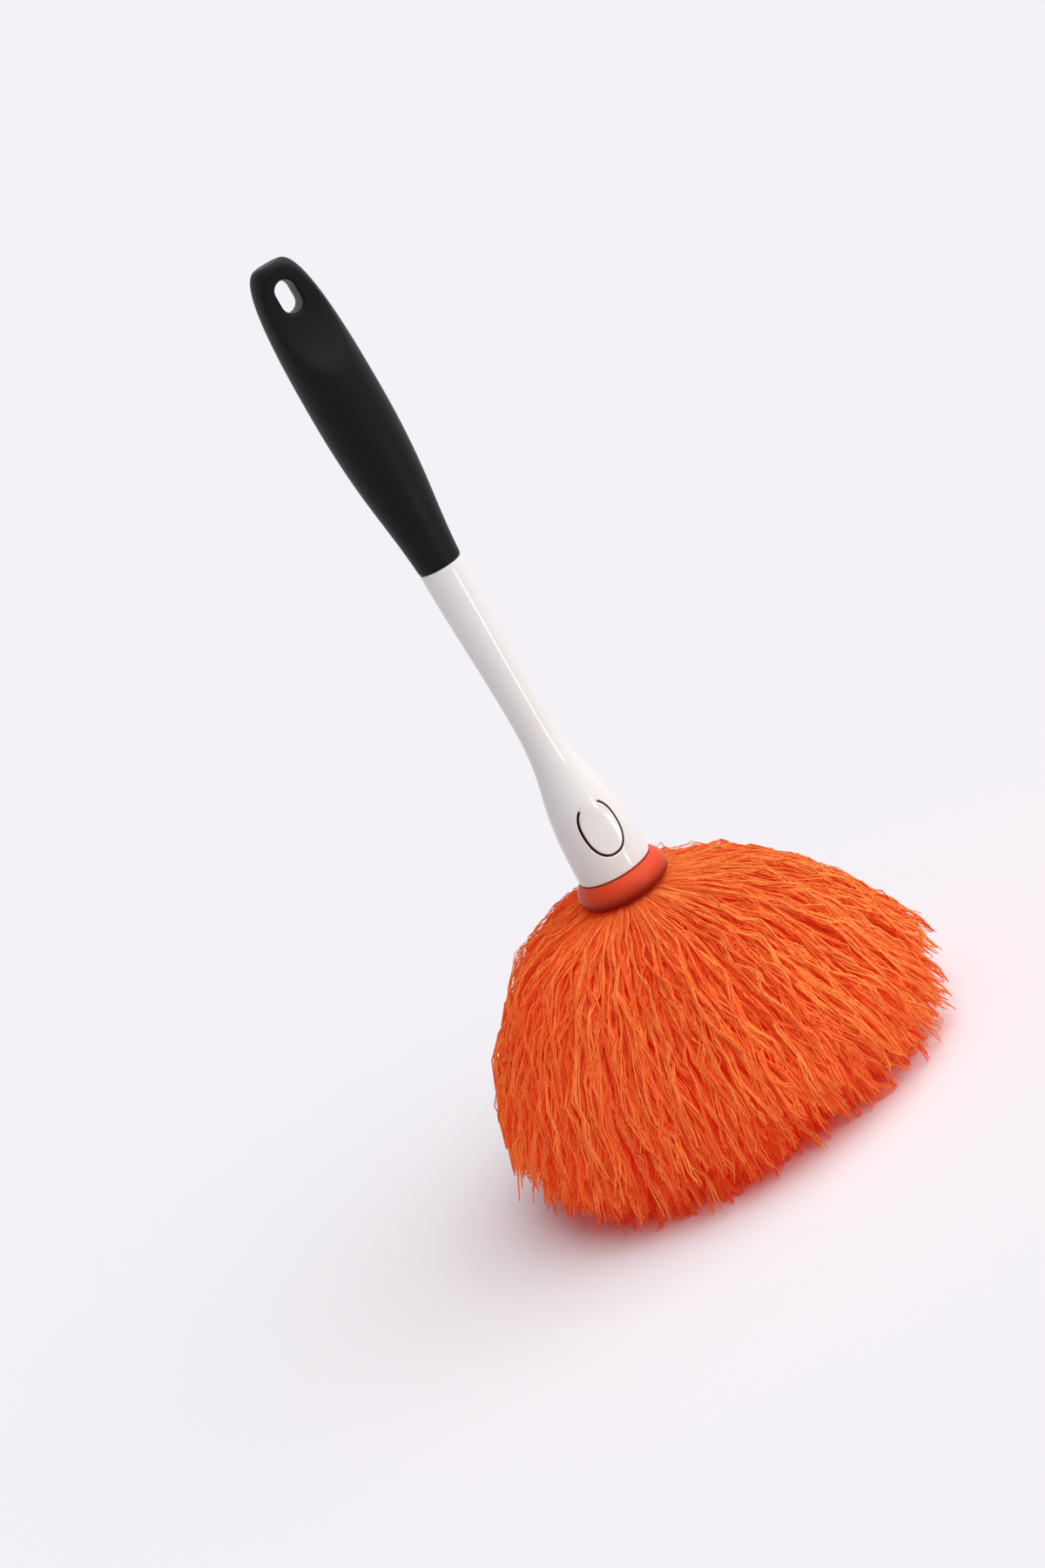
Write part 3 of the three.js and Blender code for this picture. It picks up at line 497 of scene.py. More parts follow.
def buildGrip():
    bm = bmesh.new()
    count, foot, length = grip["columns"], grip["foot"], grip["length"]
    half = count // 8  # columns each side of the hole that its patch takes
    lip, pocket, pocketEdge = grip["footLip"], grip["pocket"], grip["pocketEdge"]
    profile = [(pocket, grip["pocketTop"]), (pocket, grip["pocketMiddle"])]
    profile += [(pocket, pocketEdge), (pocket + pocketEdge, 0)]
    pocketRows = len(profile)
    profile += [(grip["jointRadius"] - lip + lip * math.sin(b), lip - lip * math.cos(b)) for b in roundSteps]
    profile += [(gripRadius(h), h) for h in np.linspace(*grip["shaft"], grip["shaftRows"])]
    first = len(profile)
    heights = np.linspace(*grip["window"], grip["windowRows"])
    profile += [(gripRadius(h), h) for h in heights]
    last = len(profile) - 1
    end = gripLine[gripLine[:, 1] > grip["end"]]
    profile += [tuple(p) for p in end[::max(len(end) // grip["endRows"], 1)]]
    endFirst = len(profile)
    profile += [(grip["flat"], length), (grip["flat"] / 2, length)]
    turns = fullTurn(count)

    def fromHole(column):  # columns from the middle of the front or the back
        return min(column % count, -column % count, abs(column % count - count // 2))

    def cut(row, column):
        return first <= row < last and fromHole(column) <= half and fromHole(column + 1) <= half

    grid = []
    for row, (radius, height) in enumerate(profile):
        points = gripPoint(turns, np.full(count, float(height)), np.full(count, float(radius)))
        if row < pocketRows or row >= endFirst:  # pocket and flat end stay round
            points = circle(radius, turns, height + foot)
        hidden = [first < row < last and fromHole(c) < half for c in range(count)]
        grid.append([None if hidden[c] else bm.verts.new(points[c] * mm) for c in range(count)])
    joinRings(bm, grid, cut)
    capRing(bm, grid[0], (0, 0, foot + grip["pocketTop"]))
    capRing(bm, grid[-1], (0, 0, foot + length))

    # the hole: loops run from the front grid's edge to the lip, through the web and out to the back grid
    edge, edgeTurn, edgeHeight = windowEdge(half, heights, count)
    angle = np.arctan2((edgeHeight - holeCentre) / grip["patchTall"], scoopFace(edgeHeight) * np.tan(edgeTurn))
    lip = grip["holeLip"]
    front = []
    x, height = holeOutline(angle, lip)
    holeTurn = np.arctan2(x, scoopFace(height))
    for share in grip["patch"]:
        high = height + (edgeHeight - height) * share
        front.append(gripPoint(holeTurn + (edgeTurn - holeTurn) * share, high, gripRadius(high)))
    for b in roundSteps[1:]:
        x, height = holeOutline(angle, lip * (1 - math.sin(b)))
        turn = np.arctan2(x, scoopFace(height))
        front.append(gripPoint(turn, height, gripRadius(height), lip * (1 - math.cos(b))))
    front.append(front[-1] * np.array([1, grip["inHole"], 1]))
    rings = [[grid[first + r][c % count] for c, r in edge]]
    rings += [addRing(bm, points) for points in front]
    rings += [addRing(bm, points * np.array([1, -1, 1])) for points in front[::-1]]
    rings.append([grid[first + r][(count // 2 - c) % count] for c, r in edge])
    joinRings(bm, rings)
    return finishPiece(bm, "grip_black", blackTpe)


place(buildGrip(), "handle", "black_tpe", "grip_sleeve")
print("grip made")

# collar: a satin ring with a soft belly
collar = {
    "top": 96.0, "topRadius": 13.1, "radius": 16.4, "footRadius": 14.4, "height": 9, "shoulder": 0.8,
    "belly": 0.55, "bore": 8.2, "recess": 11.3, "topWall": 3, "lip": 0.3, "footFlat": 0.6, "columns": 144,
    "shadeHeight": 0.8,
}


def buildCollar():
    bm = bmesh.new()
    shade = bm.verts.layers.float.new("foot")
    top, height, topRadius, lip = (collar[key] for key in ("top", "height", "topRadius", "lip"))
    bore, recess, ceiling = collar["bore"], collar["recess"], top - collar["topWall"]
    foot, spread = top - height, collar["radius"] - topRadius
    profile = [tuple(p) for p in bezier(
        (topRadius, top), (topRadius + collar["shoulder"] * spread, top - height / 10),
        (collar["radius"] + collar["belly"] * spread, foot + height / 4), (collar["footRadius"], foot), 40)]
    profile += [(collar["footRadius"] - collar["footFlat"], foot), (recess + lip, foot), (recess, foot + lip)]
    profile += [(recess, ceiling), (bore, ceiling), (bore, top - lip), (bore + lip, top)]
    rings = [addRing(bm, circle(r, fullTurn(collar["columns"]), z)) for r, z in profile]
    joinRings(bm, rings + rings[:1])
    for v in bm.verts:
        x, y, z = v.co / mm
        # painted shade, darker towards the lower edge
        v[shade] = float(1 - smoothStep(z, foot, foot + collar["shadeHeight"] * height))
        onTop = z > top - 0.05 and math.hypot(x, y) < topRadius - 0.1
        if onTop:  # painted shade in the gap under the handle
            v[shade] = 1.0
    return finishPiece(bm, "collar_orange", orangeSatin)


place(buildCollar(), "head", "orange_satin", "head_collar")

# pieces inside: the CAD shapes with their sharp edges broken
innerPieces = {  # CAD node: name, material, body, slot, width of the broken edge
    "head_stem": ("hub_stem", orangeAbs, "head", "orange_abs", 0.15),
    "snap_tongue": ("hub_tongue", orangeAbs, "tongue", "orange_abs", 0.12),
    "retainer_disc": ("hub_disc", orangeAbs, "head", "orange_abs", 0.2),
    "retainer_screw": ("hub_screw", zincSteel, "head", "screw_steel", 0.1),
    "tang_plug": ("tang_stopper", whiteAbs, "handle", "white_abs", 0.25),
}
sharpFrom = 30  # degrees between faces
for node, (name, material, body, slotName, width) in innerPieces.items():
    bm = bmesh.new()
    bm.from_mesh(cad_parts[node].data)
    bmesh.ops.remove_doubles(bm, verts=bm.verts, dist=2e-6)
    bmesh.ops.dissolve_limit(bm, angle_limit=math.radians(1), verts=bm.verts, edges=bm.edges)
    piece = finishPiece(bm, name, material, sharpFrom)
    bevel = piece.modifiers.new("edgeBreak", "BEVEL")
    bevel.width, bevel.segments, bevel.harden_normals = width * mm, 2, True
    bevel.limit_method, bevel.angle_limit = "ANGLE", math.radians(sharpFrom)
    place(piece, body, slotName, node)
print("collar and inner pieces made")

# yarn: strands leave the root block under the collar, swing out and droop; whole numbers are counts and seeds
yarn = {
    "Strands": 900, "Fibres": 1, "Path steps": 44, "Strand steps": 29, "Sides": 3, "Seed": 8, "Fibre seed": 0,
    "Quarter": 0.0, "Layer bias": 1.3, "Root radius": 13.2 * mm, "Buried": 4.0 * mm, "Root height": 86 * mm,
    "Reach": 124 * mm, "Head radius": 82 * mm, "Droop": 62 * mm, "Lean droop": 50 * mm, "Droop power": 3.4,
    "Lean side": math.radians(-11),
    "Outer root angle": math.radians(92), "Root rise": math.radians(34), "Inner root angle": math.radians(28),
    "Outer tip angle": math.radians(88), "Lean tip angle": math.radians(77), "Inner tip angle": math.radians(5),
    "Length": 90 * mm, "Length spread": 0.08, "Long side": math.radians(-94), "Long share": 0.1,
    "Short side": math.radians(-91), "Short by": 9 * mm, "Short power": 4.0,
    "Outer cut": 121 * mm, "Inner cut": 74 * mm, "Tone by layer": 0.5,
    "Tufts": 84.0, "Tuft rings": 6.0, "Tuft pull": 0.75, "Pull power": 1.6,
    "Wave": 3.0 * mm, "Wave length": 30 * mm, "Kink": 1.5 * mm, "Kink length": 9 * mm,
    "Wave start": 4 * mm, "Wave full": 38 * mm, "Stray": 0.3, "Stray from": 0.88,
    "Fluff": 0.0, "Fluff length": 9 * mm, "Fluff swing": 2.6, "Fluff at root": 0.35, "Ragged": 3.0,
    "Flyaway": 3.4, "Flyaway from": 0.84, "Lowest": 0.7 * mm,
    "Thickness": 0.6 * mm, "Thickness spread": 0.25, "Root share": 0.62, "Far share": 1.35, "Far": 95 * mm,
    "Tip share": 0.6, "Tip from": 0.92,
}
yarnFibres = {  # filaments are 0.02 mm, drawn as 0.42 mm so that few enough are needed
    "Fibres": 2, "Strand steps": 15, "Fibre seed": 90, "Fluff": 0.9 * mm, "Thickness": 0.42 * mm,
}
seedStep = {"yarn": 211, "fibre": 10}  # between quarters, so that no two are alike


def yarnTree():
    tree = bpy.data.node_groups.new("yarnHead", "GeometryNodeTree")
    tree.interface.new_socket("Geometry", in_out="OUTPUT", socket_type="NodeSocketGeometry")
    for label, value in yarn.items():
        kind = "NodeSocketInt" if isinstance(value, int) else "NodeSocketFloat"
        tree.interface.new_socket(label, in_out="INPUT", socket_type=kind)
    tree.interface.new_socket("Material", in_out="INPUT", socket_type="NodeSocketMaterial")
    add = partial(addNode, tree)
    get = add("NodeGroupInput", out=None).outputs
    sums, wholeSums, vectors = "ShaderNodeMath", "FunctionNodeIntegerMath", "ShaderNodeVectorMath"
    mix, mapRange, joined = "ShaderNodeMix", "ShaderNodeMapRange", "ShaderNodeCombineXYZ"
    chance, noise = "FunctionNodeRandomValue", "ShaderNodeTexNoise"
    store, recall = "GeometryNodeStoreNamedAttribute", "GeometryNodeInputNamedAttribute"

    # one point for each step of each fibre, and chances that are the same all along a strand
    threads = add(sums, {0: get["Strands"], 1: get["Fibres"]}, operation="MULTIPLY")
    total = add(sums, {0: threads, 1: get["Path steps"]}, operation="MULTIPLY")
    points = add("GeometryNodePoints", {"Count": total})
    index = add("GeometryNodeInputIndex")
    thread = add(wholeSums, {0: index, 1: get["Path steps"]}, operation="DIVIDE_FLOOR")
    strand = add(wholeSums, {0: thread, 1: get["Fibres"]}, operation="DIVIDE_FLOOR")
    step = add(wholeSums, {0: index, 1: get["Path steps"]}, operation="MODULO")
    curves = add("GeometryNodePointsToCurves", {0: points, "Curve Group ID": thread, "Weight": step})
    own = {}
    for number, label in enumerate(("layer", "turn", "length", "pull", "tone", "thick", "bend")):
        seed = add(sums, {0: get["Seed"], 1: number * 17.0}, operation="ADD")
        own[label] = add(chance, {"ID": strand, "Seed": seed}, out=1)
    fibreSeed = {"ID": thread, "Seed": get["Fibre seed"]}
    fibreSide = add(chance, {0: (-1, -1, -1), 1: (1, 1, 1), **fibreSeed}, data_type="FLOAT_VECTOR")
    fibreShare = add(chance, {2: -1.0, 3: 1.0, **fibreSeed}, out=1)

    # layer runs from 0, the outer strands, to 1; turn is the angle round the axis
    layer = add(sums, {0: own["layer"], 1: get["Layer bias"]}, operation="POWER")
    strandPlace = add(sums, {0: strand, 1: own["turn"]}, operation="ADD")
    quarterShare = add(sums, {0: strandPlace, 1: get["Strands"]}, operation="DIVIDE")
    turn = add(sums, {0: quarterShare, 1: math.pi / 2, 2: get["Quarter"]}, operation="MULTIPLY_ADD")

    # strands gather into tufts towards their tips
    pathShare = add(sums, {0: step, 1: get["Path steps"]}, operation="DIVIDE")
    pullShape = add(sums, {0: pathShare, 1: get["Pull power"]}, operation="POWER")
    ownPull = add(sums, {0: own["pull"], 1: get["Tuft pull"]}, operation="MULTIPLY")
    pull = add(sums, {0: pullShape, 1: ownPull}, operation="MULTIPLY")
    tuftsPerTurn = add(sums, {0: get["Tufts"], 1: 2 * math.pi}, operation="DIVIDE")
    tuftPlace = add(sums, {0: turn, 1: tuftsPerTurn}, operation="MULTIPLY")
    tuftCell = add(sums, {0: tuftPlace}, operation="FLOOR")
    ringPlace = add(sums, {0: layer, 1: get["Tuft rings"]}, operation="MULTIPLY")
    ringCell = add(sums, {0: ringPlace}, operation="FLOOR")
    tuftName = add(sums, {0: ringCell, 1: 401.0, 2: tuftCell}, operation="MULTIPLY_ADD")  # a number for each tuft
    cells = ((turn, tuftCell, 5, tuftsPerTurn), (layer, ringCell, 6, get["Tuft rings"]))
    gathered = []
    for ownPlace, cell, seed, count in cells:
        inCell = add(chance, {"ID": tuftName, "Seed": seed}, out=1)
        cellPlace = add(sums, {0: cell, 1: inCell}, operation="ADD")
        tuft = add(sums, {0: cellPlace, 1: count}, operation="DIVIDE")
        gathered.append(add(mix, {0: pull, 2: ownPlace, 3: tuft}))
    turnNow, layerNow = gathered

    # the path: straight out of the root block, easing to its own far angle, then drooping
    start = add(sums, {0: get["Root radius"], 1: get["Buried"]}, operation="SUBTRACT")
    room = add(sums, {0: get["Reach"], 1: start}, operation="SUBTRACT")
    distance = add(sums, {0: pathShare, 1: room, 2: start}, operation="MULTIPLY_ADD")
    facing = {}
    for label in ("Lean side", "Long side", "Short side"):  # 1 where a strand points that way, -1 opposite
        apart = add(sums, {0: turn, 1: get[label]}, operation="SUBTRACT")
        facing[label] = add(sums, {0: apart}, operation="COSINE")
    lean = add(sums, {0: facing["Lean side"], 1: 0.5, 2: 0.5}, operation="MULTIPLY_ADD")
    outerTip = add(mix, {0: lean, 2: get["Outer tip angle"], 3: get["Lean tip angle"]})
    droop = add(mix, {0: lean, 2: get["Droop"], 3: get["Lean droop"]})
    behind = add(sums, {0: facing["Long side"], 1: 0.0}, operation="MINIMUM")
    rise = add(sums, {0: behind, 1: get["Root rise"]}, operation="MULTIPLY")
    outerRoot = add(sums, {0: get["Outer root angle"], 1: rise}, operation="SUBTRACT")
    rootAngle = add(mix, {0: layer, 2: outerRoot, 3: get["Inner root angle"]})
    tipAngle = add(mix, {0: layerNow, 2: outerTip, 3: get["Inner tip angle"]})
    near = add(sums, {0: get["Root radius"], 1: distance}, operation="DIVIDE")
    nearSquare = add(sums, {0: near, 1: 2.0}, operation="POWER")
    ease = add(sums, {0: nearSquare, 1: 1.0}, operation="MINIMUM")
    angle = add(mix, {0: ease, 2: tipAngle, 3: rootAngle})
    sine, cosine = (add(sums, {0: angle}, operation=name) for name in ("SINE", "COSINE"))
    turnSine, turnCosine = (add(sums, {0: turnNow}, operation=name) for name in ("SINE", "COSINE"))
    radius = add(sums, {0: distance, 1: sine}, operation="MULTIPLY")
    spread = add(sums, {0: radius, 1: get["Head radius"]}, operation="DIVIDE")
    fall = add(sums, {0: spread, 1: get["Droop power"]}, operation="POWER")
    down = add(sums, {0: distance, 1: cosine}, operation="MULTIPLY")
    lower = add(sums, {0: fall, 1: droop, 2: down}, operation="MULTIPLY_ADD")
    height = add(sums, {0: get["Root height"], 1: lower}, operation="SUBTRACT")
    x = add(sums, {0: radius, 1: turnCosine}, operation="MULTIPLY")
    y = add(sums, {0: radius, 1: turnSine}, operation="MULTIPLY")
    path = add("GeometryNodeSetPosition", {0: curves, "Position": add(joined, {0: x, 1: y, 2: height})})

    # each strand's own length, cut where it would pass the base
    ownLength = add(mapRange, {0: own["length"], 3: -1.0, 4: 1.0})
    lengthShare = add(sums, {0: ownLength, 1: get["Length spread"], 2: 1.0}, operation="MULTIPLY_ADD")
    sideShare = add(sums, {0: facing["Long side"], 1: get["Long share"], 2: 1.0}, operation="MULTIPLY_ADD")
    evenLength = add(sums, {0: lengthShare, 1: get["Length"]}, operation="MULTIPLY")
    sideLength = add(sums, {0: evenLength, 1: sideShare}, operation="MULTIPLY")
    shortFace = add(sums, {0: facing["Short side"], 1: 0.0}, operation="MAXIMUM")
    shortShare = add(sums, {0: shortFace, 1: get["Short power"]}, operation="POWER")
    shortBy = add(sums, {0: shortShare, 1: get["Short by"]}, operation="MULTIPLY")
    fullLength = add(sums, {0: sideLength, 1: shortBy}, operation="SUBTRACT")
    toBase = add(mapRange, {0: layer, 3: get["Outer cut"], 4: get["Inner cut"]})
    cutLength = add(sums, {0: fullLength, 1: toBase}, operation="MINIMUM")
    fray = add(sums, {0: fibreShare, 1: get["Fluff"]}, operation="MULTIPLY")
    frayedLength = add(sums, {0: fray, 1: get["Ragged"], 2: cutLength}, operation="MULTIPLY_ADD")
    wholeLength = add(sums, {0: frayedLength, 1: get["Buried"]}, operation="ADD")
    # painted shade: inner strands darker, mixed with each strand's own random tone
    outerness = add(sums, {0: 1.0, 1: layer}, operation="SUBTRACT")
    tone = add(mix, {0: get["Tone by layer"], 2: own["tone"], 3: outerness})
    marks = {"strandLength": wholeLength, "tone": tone, "thick": own["thick"], "bend": own["bend"]}
    for label, value in marks.items():
        path = add(store, {0: path, "Name": label, "Value": value})
    path = add(store, {0: path, "Name": "fibreSide", "Value": fibreSide}, data_type="FLOAT_VECTOR")
    strandLength, bend, thick = (
        add(recall, {"Name": label}) for label in ("strandLength", "bend", "thick"))
    side = add(recall, {"Name": "fibreSide"}, data_type="FLOAT_VECTOR")
    trimmed = add("GeometryNodeTrimCurve", {0: path, 5: strandLength}, mode="LENGTH")
    even = add("GeometryNodeResampleCurve", {0: trimmed, "Count": get["Strand steps"]}, mode="COUNT")
    spline = add("GeometryNodeSplineParameter", out=None).outputs

    # long waves and short kinks, growing from the root; a few strands stray further
    seedPlace = add(sums, {0: bend, 1: 733.0}, operation="MULTIPLY")  # far apart in the noise
    waveGrow = add(mapRange, {
        0: spline["Length"], 1: get["Wave start"], 2: get["Wave full"],
    }, interpolation_type="SMOOTHSTEP")
    stray = add(mapRange, {0: bend, 1: get["Stray from"], 2: 1.0}, interpolation_type="SMOOTHSTEP")
    strayShare = add(sums, {0: stray, 1: get["Stray"], 2: 1.0}, operation="MULTIPLY_ADD")
    free = add(sums, {0: waveGrow, 1: strayShare}, operation="MULTIPLY")
    moves = []
    for label in ("Wave", "Kink"):
        run = add(sums, {0: spline["Length"], 1: get[label + " length"]}, operation="DIVIDE")
        noisePlace = add(joined, {0: seedPlace, 1: run, 2: 0.37})
        swing = add(noise, {"Vector": noisePlace, "Scale": 1.0, "Detail": 0.0}, out="Color")
        centred = add(vectors, {0: swing, 1: (0.5, 0.5, 0.5)}, operation="SUBTRACT")
        fullSwing = add(sums, {0: get[label], 1: 4.0}, operation="MULTIPLY")  # noise keeps near its middle
        amount = add(sums, {0: fullSwing, 1: free}, operation="MULTIPLY")
        moves.append(add(vectors, {0: centred, "Scale": amount}, operation="SCALE"))

    # fibres stand off their strand to one side, wander, and some fly away
    fluffRun = add(sums, {0: spline["Length"], 1: get["Fluff length"]}, operation="DIVIDE")
    fluffPlace = add(vectors, {0: side, "Scale": 377.0}, operation="SCALE")
    fluffPlace = add(vectors, {0: fluffPlace, 1: add(joined, {1: fluffRun})}, operation="ADD")
    fluffNoise = add(noise, {"Vector": fluffPlace, "Scale": 1.0, "Detail": 0.0}, out="Color")
    wander = add(vectors, {0: fluffNoise, 1: (0.5, 0.5, 0.5)}, operation="SUBTRACT")
    wander = add(vectors, {0: wander, "Scale": get["Fluff swing"]}, operation="SCALE")
    fluffSide = add(vectors, {0: side, 1: wander}, operation="ADD")
    fluffGrow = add(mapRange, {0: spline["Factor"], 3: get["Fluff at root"], 4: 1.0})
    sideShare = add("ShaderNodeSeparateXYZ", {0: side}, out=2)
    flyaway = add(mapRange, {0: sideShare, 1: get["Flyaway from"], 2: 1.0, 3: 1.0, 4: get["Flyaway"]})
    ownFluff = add(sums, {0: flyaway, 1: get["Fluff"]}, operation="MULTIPLY")
    fluffSize = add(sums, {0: fluffGrow, 1: ownFluff}, operation="MULTIPLY")
    fluff = add(vectors, {0: fluffSide, "Scale": fluffSize}, operation="SCALE")
    waves = add(vectors, {0: moves[0], 1: moves[1]}, operation="ADD")
    offset = add(vectors, {0: waves, 1: fluff}, operation="ADD")
    waved = add("GeometryNodeSetPosition", {0: even, "Offset": offset})
    spot = add("ShaderNodeSeparateXYZ", {0: add("GeometryNodeInputPosition")}, out=None).outputs
    onFloor = add(sums, {0: spot[2], 1: get["Lowest"]}, operation="MAXIMUM")
    restPlace = add(joined, {0: spot[0], 1: spot[1], 2: onFloor})
    settled = add("GeometryNodeSetPosition", {0: waved, "Position": restPlace})

    # thin at the root, full along the strand, frayed at the tip
    ownThick = add(mapRange, {0: thick, 3: -1.0, 4: 1.0})
    thickShare = add(sums, {0: ownThick, 1: get["Thickness spread"], 2: 1.0}, operation="MULTIPLY_ADD")
    halfThick = add(sums, {0: get["Thickness"], 1: 0.5}, operation="MULTIPLY")
    fullThick = add(sums, {0: thickShare, 1: halfThick}, operation="MULTIPLY")
    swelling = add(mapRange, {
        0: spline["Length"], 1: 0.0, 2: get["Far"], 3: get["Root share"], 4: get["Far share"],
    })
    tipThin = add(mapRange, {0: spline["Factor"], 1: get["Tip from"], 2: 1.0, 3: 1.0, 4: get["Tip share"]})
    taper = add(sums, {0: swelling, 1: tipThin}, operation="MULTIPLY")
    strandRadius = add(sums, {0: fullThick, 1: taper}, operation="MULTIPLY")
    marked = add(store, {0: settled, "Name": "along", "Value": spline["Length"]})
    sized = add("GeometryNodeSetCurveRadius", {0: marked, "Radius": strandRadius})
    ring = add("GeometryNodeCurvePrimitiveCircle", {"Resolution": get["Sides"], "Radius": 1.0})
    ringShare = add("GeometryNodeSplineParameter", out="Factor")
    ring = add(store, {0: ring, "Name": "around", "Value": ringShare})
    radiusHere = add("GeometryNodeInputRadius")
    skin = add("GeometryNodeCurveToMesh", {0: sized, 1: ring, "Scale": radiusHere, "Fill Caps": True})
    smooth = add("GeometryNodeSetShadeSmooth", {0: skin})
    real = add("GeometryNodeRealizeInstances", {0: smooth})
    coloured = add("GeometryNodeSetMaterial", {0: real, "Material": get["Material"]})
    add("NodeGroupOutput", {0: coloured}, out=None)
    return tree


def growStrands(tree, name, values, material):
    seed = showObject(name + "Seed", bpy.data.meshes.new(name + "Seed"))
    modifier = seed.modifiers.new("strands", "NODES")
    modifier.node_group = tree
    for socket in tree.interface.items_tree:
        if socket.in_out == "INPUT":
            modifier[socket.identifier] = material if socket.name == "Material" else values[socket.name]
    seed.update_tag()
    graph = bpy.context.evaluated_depsgraph_get()
    mesh = bpy.data.meshes.new_from_object(seed.evaluated_get(graph))
    mesh.name = name
    for attribute in ("strandLength", "thick", "bend", "fibreSide", "radius"):
        if attribute in mesh.attributes:
            mesh.attributes.remove(mesh.attributes[attribute])
    seed.modifiers.remove(modifier)
    bpy.data.objects.remove(seed)
    print(name, len(mesh.polygons), "faces")
    return showObject(name, mesh)


strandTree = yarnTree()
for number, quarter in enumerate(("back_right", "back_left", "front_left", "front_right")):
    values = {**yarn, "Quarter": number * math.pi / 2, "Seed": yarn["Seed"] + number * seedStep["yarn"]}
    yarnPiece = growStrands(strandTree, "mop_yarn_" + quarter, values, microfibre)
    place(yarnPiece, "head", "microfibre", "yarn_" + quarter)
    for batch, letter in enumerate("ab"):
        fibreSeed = yarnFibres["Fibre seed"] + number * seedStep["fibre"] + batch
        values = {**values, **yarnFibres, "Fibre seed": fibreSeed}
        fibrePiece = growStrands(strandTree, "mop_fibre_" + quarter + "_" + letter, values, microfibre)
        place(fibrePiece, "head", "microfibre")

# the stitched block that the strands grow from
rootBlock = {
    "radius": 12.4, "height": 86, "bore": 4.9, "neckRadius": 10.8, "neckTop": 87.2, "bottom": 11.2,
    "rows": 14, "columns": 72, "stitches": 36, "stitchDepth": 0.15,
}


def buildRoot():
    bm = bmesh.new()
    radius, height, bore, neck = (rootBlock[key] for key in ("radius", "height", "bore", "neckRadius"))
    low = math.asin(rootBlock["bottom"] / radius)
    dome = np.linspace(low, 0, rootBlock["rows"])
    profile = [(radius * math.cos(a), height - radius * math.sin(a)) for a in dome]
    profile += [(neck, height), (neck, rootBlock["neckTop"])]
    profile += [(bore, rootBlock["neckTop"]), (bore, height - rootBlock["bottom"])]
    turns = fullTurn(rootBlock["columns"])
    stitch = rootBlock["stitchDepth"] * np.sin(rootBlock["stitches"] * turns)
    rings = []
    for row, (r, z) in enumerate(profile):
        reach = r + (stitch if 0 < row < rootBlock["rows"] - 1 else 0)
        points = np.stack([reach * np.cos(turns), reach * np.sin(turns), z + 0 * turns], axis=-1)
        rings.append(addRing(bm, points))
    joinRings(bm, rings + rings[:1])
    return finishPiece(bm, "mop_root", microfibre)


place(buildRoot(), "head", "microfibre")
print("yarn made")

# stage: pale floor, soft light, camera
ground = {"half": 400, "tone": "#F9F7FB"}  # metres, so wide that its edge is not seen
half = ground["half"]
floorMesh = bpy.data.meshes.new("floor")
floorMesh.from_pydata([(-half, -half, 0), (half, -half, 0), (half, half, 0), (-half, half, 0)], [], [(0, 1, 2, 3)])
paleFloor = newMaterial("paleFloor", Roughness=0.9, Base_Color=linear(ground["tone"]), Specular_IOR_Level=0.0)[0]
floorMesh.materials.append(paleFloor)
showObject("floor", floorMesh)

light = {
    "ambient": 0.2, "ambientTone": "#FBFAFF", "backdrop": "#F4F2F7",  # the backdrop's tone is the far floor's
    "sun": 2.9, "sunAngle": 90, "sunFrom": (1.35, -0.8, 2.4), "sunTo": (0, 0, 0.1),
    "stripFrom": (0.163, -0.252), "stripWidth": 0.026,
    "strips": {"strip": (0.1, 0.1, 0.086), "glint": (0.018, 0.018, 0.014)},  # power, height and length
}
world = bpy.data.worlds.new("studio")
bpy.context.scene.world = world
world.use_nodes = True
world.node_tree.nodes.clear()
add = partial(addNode, world.node_tree)
ray = add("ShaderNodeLightPath", out=None).outputs
seen = add("ShaderNodeMath", {0: ray["Is Camera Ray"], 1: ray["Is Glossy Ray"]}, operation="MAXIMUM")
seen = add("ShaderNodeMath", {0: seen, 1: ray["Is Transmission Ray"]}, operation="MAXIMUM")
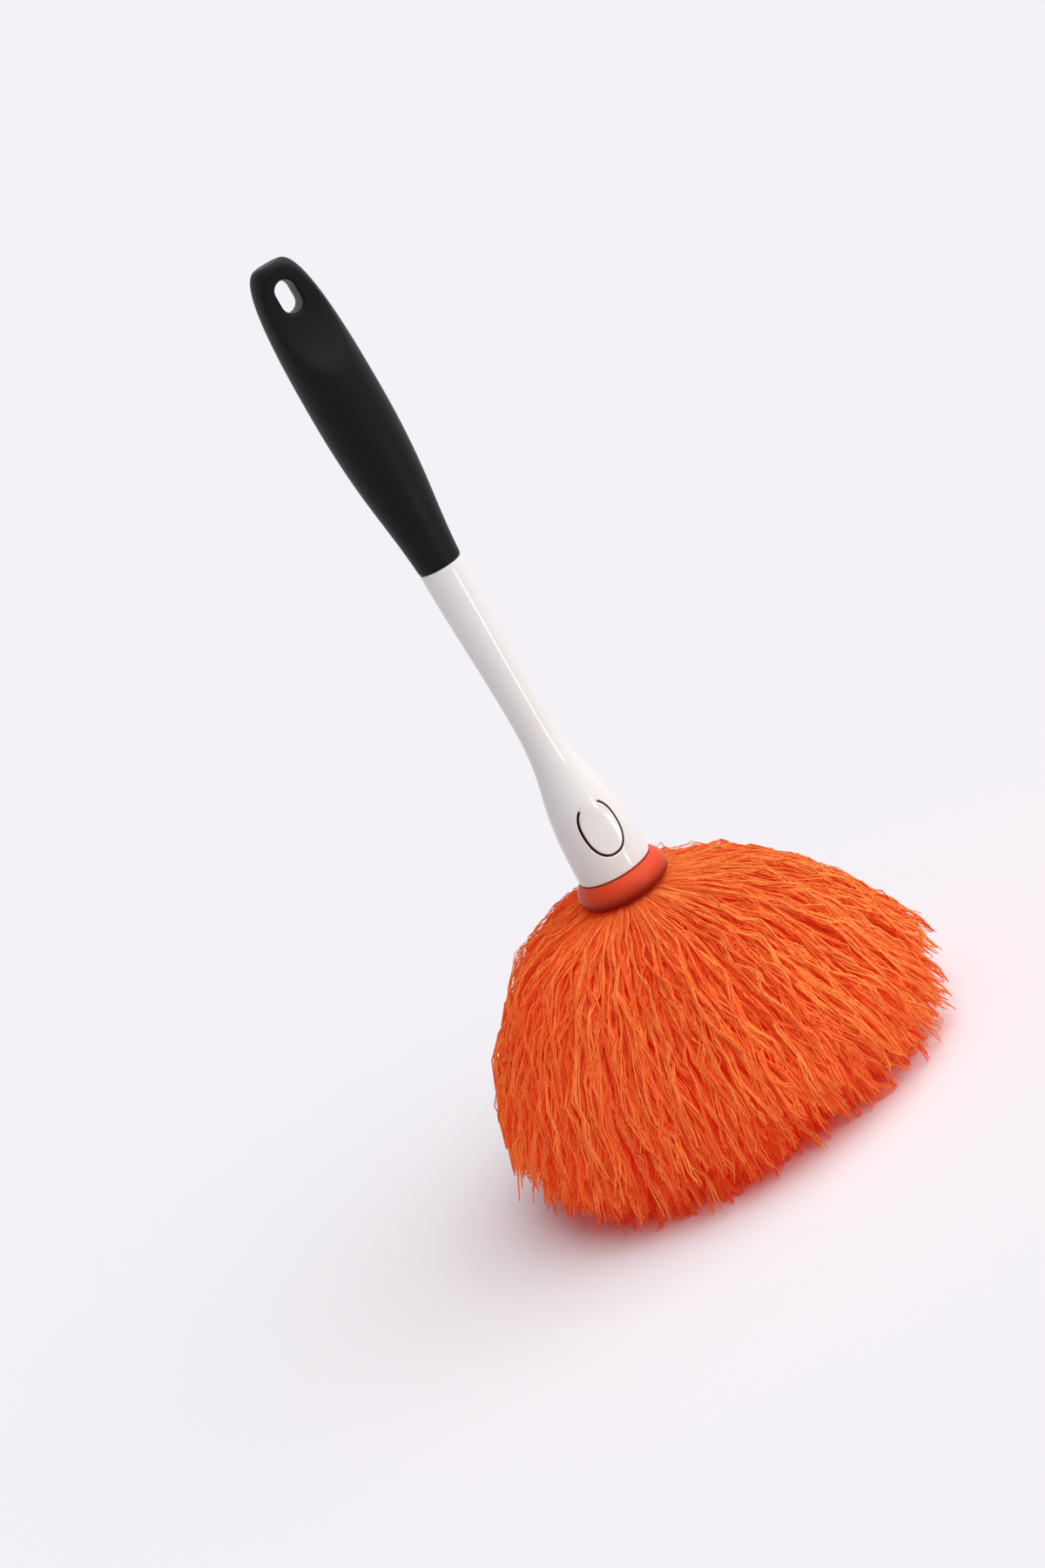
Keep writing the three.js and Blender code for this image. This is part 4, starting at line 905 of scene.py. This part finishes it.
glow = add("ShaderNodeBackground", {"Color": linear(light["ambientTone"]), "Strength": light["ambient"]})
backdrop = add("ShaderNodeBackground", {"Color": linear(light["backdrop"]), "Strength": 1.0})
add("ShaderNodeOutputWorld", {"Surface": add("ShaderNodeMixShader", {0: seen, 1: glow, 2: backdrop})}, out=None)


def addLamp(name, kind, start, aim, **settings):
    lamp = bpy.data.lights.new(name, kind)
    for key, value in settings.items():
        setattr(lamp, key, value)
    thing = showObject(name, lamp)
    thing.location = start
    thing.rotation_mode = "QUATERNION"
    thing.rotation_quaternion = (Vector(aim) - Vector(start)).to_track_quat("-Z", "Y")
    return thing


addLamp("sun", "SUN", light["sunFrom"], light["sunTo"], energy=light["sun"], angle=math.radians(light["sunAngle"]))
# low strips that only gloss shows: a thin line down the handle's neck and a short one on the bell
for name, (power, height, length) in light["strips"].items():
    lamp = addLamp(
        name, "AREA", (*light["stripFrom"], height), (0, 0, height), energy=power,
        shape="RECTANGLE", size=light["stripWidth"], size_y=length)
    lamp.visible_diffuse = False

view = {
    "lens": 70, "sensor": 36, "farthest": 1000, "distance": 1.015, "azimuth": -11, "elevation": 16.4, "roll": 30.3,
    "aim": (0, 0, 96.3 * mm), "aimRight": 30.6 * mm, "aimUp": -27.1 * mm,
}
azimuth, elevation = math.radians(view["azimuth"]), math.radians(view["elevation"])
back = Vector((
    math.sin(azimuth) * math.cos(elevation), -math.cos(azimuth) * math.cos(elevation), math.sin(elevation)))
camera = showObject("camera", bpy.data.cameras.new("camera"))
camera.data.lens, camera.data.sensor_width, camera.data.clip_end = view["lens"], view["sensor"], view["farthest"]
camera.rotation_mode = "QUATERNION"
rolled = Quaternion((0, 0, 1), math.radians(-view["roll"]))
camera.rotation_quaternion = (-back).to_track_quat("-Z", "Y") @ rolled
fromAim = Vector((view["aimRight"], view["aimUp"], -view["distance"]))
camera.location = Vector(view["aim"]) - camera.rotation_quaternion @ fromAim
bpy.context.scene.camera = camera
bpy.context.scene.view_settings.view_transform = "Standard"
print("stage set")
